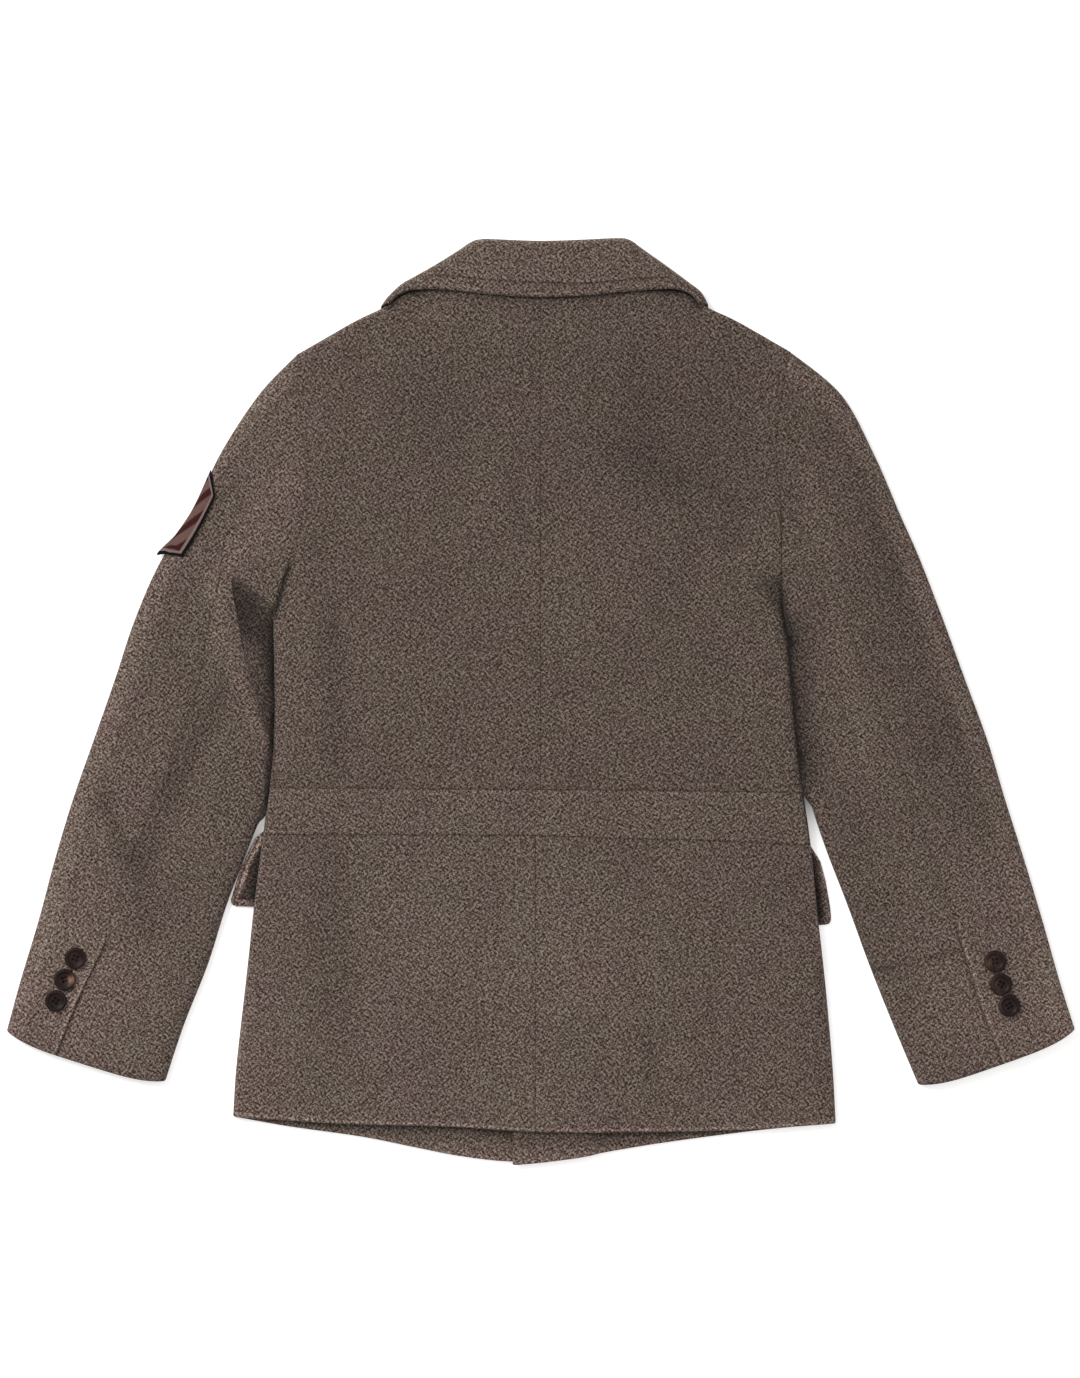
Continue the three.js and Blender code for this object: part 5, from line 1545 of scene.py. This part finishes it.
class Nodes:
    """A new material, with short ways to add its nodes."""

    def __init__(self, name):
        self.material = bpy.data.materials.new(name)
        self.material.use_nodes = True
        self.tree = self.material.node_tree
        self.tree.nodes.clear()
        output = self.tree.nodes.new("ShaderNodeOutputMaterial")
        self.shader = self.tree.nodes.new("ShaderNodeBsdfPrincipled")
        self.tree.links.new(self.shader.outputs["BSDF"], output.inputs["Surface"])

    def surface(self, inputs):
        for key, value in inputs.items():
            self.set(self.shader.inputs[key], value)
        return self.material

    def add(self, kind, inputs=None, **settings):
        node = self.tree.nodes.new(kind)
        for key, value in settings.items():
            setattr(node, key, value)
        for key, value in (inputs or {}).items():
            self.set(node.inputs[key], value)
        return node

    def set(self, socket, value):
        if isinstance(value, bpy.types.NodeSocket):
            self.tree.links.new(value, socket)
        else:
            socket.default_value = value

    def math(self, operation, *values, clamp=False):
        inputs = dict(enumerate(values))
        return self.add("ShaderNodeMath", inputs, operation=operation, use_clamp=clamp).outputs[0]

    def vector(self, operation, a, b, output="Vector"):
        return self.add("ShaderNodeVectorMath", {0: a, 1: b}, operation=operation).outputs[output]

    def blend(self, a, share_a, b, share_b):
        return self.math("ADD", self.math("MULTIPLY", a, share_a), self.math("MULTIPLY", b, share_b))

    def attribute(self, name, output="Fac"):
        return self.add("ShaderNodeAttribute", attribute_name=name).outputs[output]

    def position(self):
        return self.add("ShaderNodeTexCoord").outputs["Object"]

    def turned_position(self):
        """Position in a slanting frame, so that a flat face cuts the noise evenly."""
        mapping = self.add("ShaderNodeMapping", {"Vector": self.position(), "Rotation": SLANT})
        return mapping.outputs["Vector"]

    def noise(self, vector, scale, detail=2.0, roughness=0.5):
        inputs = {"Vector": vector, "Scale": scale, "Detail": detail, "Roughness": roughness}
        return self.add("ShaderNodeTexNoise", inputs).outputs["Fac"]

    def cloth_noise(self, grain, along, across):
        """Noise on the cut cloth, with a scale for each of its two ways."""
        return self.noise(self.vector("MULTIPLY", grain, (along, across, 1)), 1.0, 1.0)

    def ramp(self, value, stops):
        node = self.add("ShaderNodeValToRGB", {"Fac": value})
        elements = node.color_ramp.elements
        while len(elements) < len(stops):
            elements.new(0.5)
        for element, (place, colour) in zip(elements, stops):
            element.position = place
            element.color = (*colour, 1)
        return node.outputs["Color"]

    def mix_colour(self, share, a, b, blend="MIX"):
        node = self.add("ShaderNodeMix", data_type="RGBA", blend_type=blend)
        for socket, value in zip((node.inputs[0], node.inputs[6], node.inputs[7]), (share, a, b)):
            self.set(socket, value)
        return node.outputs[2]

    def bump(self, height, strength, distance):
        inputs = {"Height": height, "Strength": strength, "Distance": distance}
        return self.add("ShaderNodeBump", inputs).outputs["Normal"]


YARNS = ((0.28, (0.0197, 0.0092, 0.0036)), (0.5, (0.077, 0.0545, 0.0445)), (0.72, (0.190, 0.1523, 0.1319)))
# Slow change of hue from purple to olive, and of lightness
HUES = ((0.35, (1.0, 0.957, 1.0)), (0.65, (1.0, 1.043, 1.0)))
HUE_SCALE = 24
CLOUD_SCALE = 14
CLOUD_RANGE = (0.24, 0.88)
FLECK_SCALE = 840
FLECK_STEP = 0.0019
FLECK_EDGE = 0.34
CLUMP_SCALE = 400
CLUMP_SHARE = 0.06
THREADS_ALONG, THREADS_ACROSS = 60, 900
THREAD_SHARE = 0.1
FUZZ = dict(scale=1400, roughness=0.6)
FUZZ_SHARE = 0.35
TWEED_BUMP = (0.6, 0.0008)
TWEED_SURFACE = {
    "Roughness": 0.95,
    "Specular IOR Level": 0.15,
    "Sheen Weight": 0.12,
    "Sheen Roughness": 0.5,
    "Sheen Tint": (0.8, 0.74, 0.7, 1),
}


def edged_flecks(n, place):
    """Noise whose specks stand against their four neighbours, as single yarns do in a weave."""
    speck = n.noise(place, FLECK_SCALE, 0.0)
    turn = Euler(SLANT).to_matrix() * FLECK_STEP
    steps = (turn.col[0], -turn.col[0], turn.col[1], -turn.col[1])
    beside = [n.noise(n.vector("ADD", place, tuple(step)), FLECK_SCALE, 0.0) for step in steps]
    total = n.math("ADD", n.math("ADD", *beside[:2]), n.math("ADD", *beside[2:]))
    lowered = n.math("MULTIPLY", n.math("SUBTRACT", total, len(steps) / 2), FLECK_EDGE / len(steps))
    return n.math("SUBTRACT", speck, lowered)


def tweed_material():
    """Salt-and-pepper wool: dark and light yarn flecks, slow changes of hue, and a short nap."""
    n = Nodes("tweed")
    place = n.turned_position()
    grain = n.attribute("grain", "Vector")
    flecks = n.blend(edged_flecks(n, place), 1 - CLUMP_SHARE, n.noise(place, CLUMP_SCALE, 0.0), CLUMP_SHARE)
    warp = n.cloth_noise(grain, THREADS_ACROSS, THREADS_ALONG)
    weft = n.cloth_noise(grain, THREADS_ALONG, THREADS_ACROSS)
    mixed = n.blend(flecks, 1 - THREAD_SHARE, n.blend(warp, 0.5, weft, 0.5), THREAD_SHARE)
    hue = n.ramp(n.noise(place, HUE_SCALE), HUES)
    yarn = n.mix_colour(1.0, n.ramp(mixed, YARNS), hue, "MULTIPLY")
    cloudy = n.math("MULTIPLY_ADD", n.noise(place, CLOUD_SCALE), *CLOUD_RANGE)
    # The tone attribute brings each piece's painted light and shade into the yarn colour; the cloud is the
    # cloth's own uneven colour.
    tone = n.math("MULTIPLY", n.attribute("tone"), cloudy)
    relief = n.math("ADD", mixed, n.math("MULTIPLY", n.noise(place, **FUZZ), FUZZ_SHARE))
    return n.surface({
        "Base Color": n.vector("MULTIPLY", yarn, tone),
        "Normal": n.bump(relief, *TWEED_BUMP),
        **TWEED_SURFACE,
    })


PATCH_FRAME = 4.4
BAR_EVERY = 0.0055
BAR_WIDE = 0.0025
BAR_SOFT = 0.0012
BAR_SLANT = -0.4
TWILL_SCALE = 1500
TWILL_STOPS = (0.3, 0.7)
STITCH_SCALE = 9000
STITCH_SHARE = 0.3
PATCH_BUMP = (0.5, 0.0003)
PATCH_SURFACE = {"Roughness": 0.9, "Specular IOR Level": 0.05}
# Darkest and palest twill of each cloth of the patch
PATCH_MAUVE = ((0.11, 0.076, 0.074), (0.21, 0.152, 0.148))
PATCH_BROWN = ((0.07, 0.038, 0.032), (0.145, 0.085, 0.072))
PATCH_MAROON = ((0.02, 0.0055, 0.005), (0.05, 0.015, 0.013))
PATCH_BLACK = ((0.002, 0.0015, 0.0015), (0.010, 0.008, 0.008))


def patch_material():
    """Black stitched border, a mauve frame, and a brown field with plain slanting maroon bars."""
    n = Nodes("patch_cloth")
    grain = n.attribute("grain", "Vector")
    inward = n.attribute("tone")
    split = n.add("ShaderNodeSeparateXYZ", {0: grain})
    slant = n.math("ADD", split.outputs["X"], n.math("MULTIPLY", split.outputs["Y"], BAR_SLANT))
    bars = n.math("SUBTRACT", n.math("PINGPONG", slant, BAR_EVERY), BAR_WIDE)
    bars = n.math("MULTIPLY", bars, 1 / BAR_SOFT, clamp=True)
    twill = n.cloth_noise(grain, TWILL_SCALE, TWILL_SCALE)
    mauve, brown, maroon, black = (
        n.ramp(twill, tuple(zip(TWILL_STOPS, colours)))
        for colours in (PATCH_MAUVE, PATCH_BROWN, PATCH_MAROON, PATCH_BLACK)
    )
    field = n.mix_colour(bars, brown, maroon)
    framed = n.mix_colour(n.math("GREATER_THAN", inward, PATCH_FRAME), mauve, field)
    stitches = n.math("SINE", n.math("MULTIPLY", slant, STITCH_SCALE))
    relief = n.math("ADD", n.math("MULTIPLY", stitches, STITCH_SHARE), twill)
    return n.surface({
        "Base Color": n.mix_colour(n.math("GREATER_THAN", inward, PATCH_BORDER), black, framed),
        "Normal": n.bump(relief, *PATCH_BUMP),
        **PATCH_SURFACE,
    })


HORN = ((0.45, (0.013, 0.0062, 0.006)), (0.6, (0.022, 0.0105, 0.009)), (0.74, (0.062, 0.027, 0.018)))
HORN_PALE = (0.27, 0.15, 0.10, 1)
HORN_STREAKS = ((0.3, (0.6, 0.6, 0.6)), (0.7, (1.2, 1.15, 1.1)))
HORN_CLOUD, HORN_CLOUD_STRETCH = dict(scale=90, detail=3.0, roughness=0.6), (1.0, 0.45, 1.0)
HORN_STREAK_SCALE, HORN_STREAK_STRETCH = 300, (3.0, 0.6, 1.0)
HORN_ROUGHNESS = (0.25, 0.28)
HORN_BUMP = (0.15, 0.0002)
HORN_GLOSS = 0.12


def horn_material():
    """Dark brown horn with clouded, paler streaks."""
    n = Nodes("horn_button")
    place = n.position()
    cloud = n.noise(n.vector("MULTIPLY", place, HORN_CLOUD_STRETCH), **HORN_CLOUD)
    streak = n.noise(n.vector("MULTIPLY", place, HORN_STREAK_STRETCH), HORN_STREAK_SCALE)
    colour = n.mix_colour(n.attribute("spot"), n.ramp(cloud, HORN), HORN_PALE)
    return n.surface({
        "Base Color": n.mix_colour(1.0, colour, n.ramp(streak, HORN_STREAKS), "MULTIPLY"),
        "Roughness": n.math("MULTIPLY_ADD", streak, *HORN_ROUGHNESS),
        "Normal": n.bump(streak, *HORN_BUMP),
        "Specular IOR Level": HORN_GLOSS,
    })


FLOOR_GLOW = 0.42
# Painted shadow on the floor where it lies deep between a sleeve and the body: a place, its reach, and the
# share of light lost there.
FLOOR_PAINTED_SHADOWS = table(("x", "y", "reach_x", "reach_y", "loss"), [
    (184, -58, 26, 29, 0.88),
    (-200, -108, 26, 30, 0.6),
])


FLOOR_COLOUR = (0.86, 0.86, 0.86)
FLOOR_LIGHT_COLOUR = (1, 0.985, 0.975, 1)
FLOOR_ROUGHNESS = 0.9
FLOOR_GRAIN_SCALE = 60
FLOOR_BUMP = (0.02, 0.001)


def floor_material():
    """Pale floor with a painted glow of its own, so that shadows on it stay faint, and painted shadow where
    it lies deep between a sleeve and the body.
    """
    n = Nodes("studio_floor")
    place = n.position()
    light = 1.0
    for row in FLOOR_PAINTED_SHADOWS:
        away = n.vector("ADD", place, (-row["x"] * MM, -row["y"] * MM, 0))
        away = n.vector("MULTIPLY", away, (1 / (row["reach_x"] * MM), 1 / (row["reach_y"] * MM), 0))
        square = n.vector("DOT_PRODUCT", away, away, "Value")
        lost = n.math("MULTIPLY", n.math("EXPONENT", n.math("MULTIPLY", square, -1.0)), row["loss"])
        light = n.math("MULTIPLY", n.math("SUBTRACT", 1.0, lost), light)
    return n.surface({
        "Base Color": n.vector("MULTIPLY", FLOOR_COLOUR, light),
        "Emission Color": FLOOR_LIGHT_COLOUR,
        "Emission Strength": n.math("MULTIPLY", light, FLOOR_GLOW),
        "Roughness": FLOOR_ROUGHNESS,
        "Normal": n.bump(n.noise(place, FLOOR_GRAIN_SCALE), *FLOOR_BUMP),
    })


# Camera, floor and light
PHOTO_HEIGHT = 1378
PIXEL = 0.70
VIEW_X, VIEW_Y = -0.35, 8.4
CAMERA_AWAY = 6000
CAMERA_CLIP = 100
FILM = 36.0
FLOOR_REACH = 20000.0
FLOOR_Z = -0.3


def add_camera():
    data = bpy.data.cameras.new("camera")
    data.sensor_fit = "VERTICAL"
    data.sensor_height = FILM
    data.lens = FILM * CAMERA_AWAY / (PHOTO_HEIGHT * PIXEL)
    data.clip_end = CAMERA_CLIP
    camera = bpy.data.objects.new("camera", data)
    camera.location = (VIEW_X * MM, VIEW_Y * MM, CAMERA_AWAY * MM)
    bpy.context.scene.collection.objects.link(camera)
    bpy.context.scene.camera = camera


def add_floor():
    ways = ((-1, -1), (1, -1), (1, 1), (-1, 1))
    corners = line([(x * FLOOR_REACH, y * FLOOR_REACH, FLOOR_Z) for x, y in ways])
    floor = mesh_object("studio_floor", corners, np.array([[0, 1, 2, 3]]))
    floor.data.materials.append(floor_material())


LIGHTS = table(("name", "x", "y", "z", "size", "watts"), [
    ("key", -1.7, 1.3, 1.9, 1.2, 68),
    ("fill", 1.8, 0.4, 2.4, 2.0, 12),
    ("top", 0.0, -0.6, 3.4, 3.0, 26),
])


def add_light(row):
    data = bpy.data.lights.new(row["name"], "AREA")
    data.shape = "SQUARE"
    data.size = row["size"]
    data.energy = row["watts"]
    light = bpy.data.objects.new(row["name"], data)
    light.location = (row["x"], row["y"], row["z"])
    light.rotation_euler = (-Vector(light.location)).to_track_quat("-Z", "Y").to_euler()
    bpy.context.scene.collection.objects.link(light)


WORLD_LIGHT = 0.42


def add_world():
    world = bpy.data.worlds.new("studio")
    world.use_nodes = True
    background = world.node_tree.nodes["Background"]
    background.inputs["Color"].default_value = (1, 1, 1, 1)
    background.inputs["Strength"].default_value = WORLD_LIGHT
    bpy.context.scene.world = world
    bpy.context.scene.view_settings.view_transform = "Standard"


# What each cloth piece was cut to: its width and length, and the share of that rectangle that it fills.
CUTS = table(("piece", "node", "width", "length", "fills", "rests_on"), [
    ("upper_back_left", "back_upper_left", 0.190, 0.355, 0.92, "front_panel_left"),
    ("upper_back_right", "back_upper_right", 0.185, 0.355, 0.92, "front_panel_right"),
    ("waistband", "back_waistband", 0.382, 0.034, 0.98, "front_panel_left"),
    ("skirt_left", "back_skirt_left", 0.212, 0.206, 0.95, "front_panel_left"),
    ("skirt_right", "back_skirt_right", 0.212, 0.206, 0.95, "front_panel_right"),
    ("front_panel_left", "front_left", 0.228, 0.585, 0.80, "floor"),
    ("front_panel_right", "front_right", 0.228, 0.585, 0.80, "floor"),
    ("flap_left", "pocket_flap_left", 0.125, 0.050, 0.95, "floor"),
    ("flap_right", "pocket_flap_right", 0.115, 0.052, 0.95, "floor"),
    ("lapel_facing_left", "lapel_left", 0.075, 0.125, 0.60, "floor"),
    ("lapel_facing_right", "lapel_right", 0.080, 0.125, 0.60, "floor"),
    ("sleeve_top_left", "sleeve_left_top", 0.190, 0.520, 0.75, "floor"),
    ("sleeve_under_left", "sleeve_left_under", 0.115, 0.440, 0.80, "floor"),
    ("sleeve_top_right", "sleeve_right_top", 0.190, 0.520, 0.75, "floor"),
    ("sleeve_under_right", "sleeve_right_under", 0.115, 0.440, 0.80, "floor"),
    ("collar", "collar_fall", 0.238, 0.066, 0.85, "upper_back_left"),
    ("stand", "collar_stand", 0.108, 0.024, 0.95, "upper_back_left"),
])


def dress():
    tweed = tweed_material()
    made = [
        upper_back("left"), upper_back("right"), waistband(), skirt("left"), skirt("right"),
        front("left"), front("right"), flap("left", FLAP_LEFT), flap("right", FLAP_RIGHT),
        lapel("left", LAPEL_LEFT), lapel("right", LAPEL_RIGHT), collar_fall(), collar_stand(),
    ]
    made += [sleeve_piece(side, piece) for side in ("left", "right") for piece in ("top", "under")]
    pieces = {piece.name: piece for piece in made}
    for row in CUTS:
        piece = pieces[row["piece"]]
        piece.data.materials.append(tweed)
        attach(piece, "root")
        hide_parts(row["node"])


def dress_patch():
    piece = patch()
    piece.data.materials.append(patch_material())
    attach(piece, "root")
    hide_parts("sleeve_patch")


def dress_buttons():
    horn = horn_material()
    counts = dict(left=0, right=0)
    made = []
    for row in CUFF_BUTTONS:
        counts[row["side"]] += 1
        label = f"{row['side']}_{counts[row['side']]}"
        names = (f"button_cuff_{label}", f"cuff_button_{label}")
        made.append((*names, CUFF_BUTTON_RADIUS, row["turn"], True, row["spot_at"], row["spot"]))
    turn = FRONT_BUTTON_TURN
    for k in range(len(FRONT_BUTTONS)):
        made.append((f"button_front_{k + 1}", f"front_button_{k + 1}", FRONT_BUTTON_RADIUS, turn * k, False))
    for name, node, *looks in made:
        piece = placed_button(name, node, *looks)
        piece.data.materials.append(horn)
        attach(piece, "root")
        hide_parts(node)


add_camera()
add_floor()
add_world()
for light_row in LIGHTS:
    add_light(light_row)
dress()
dress_patch()
dress_buttons()
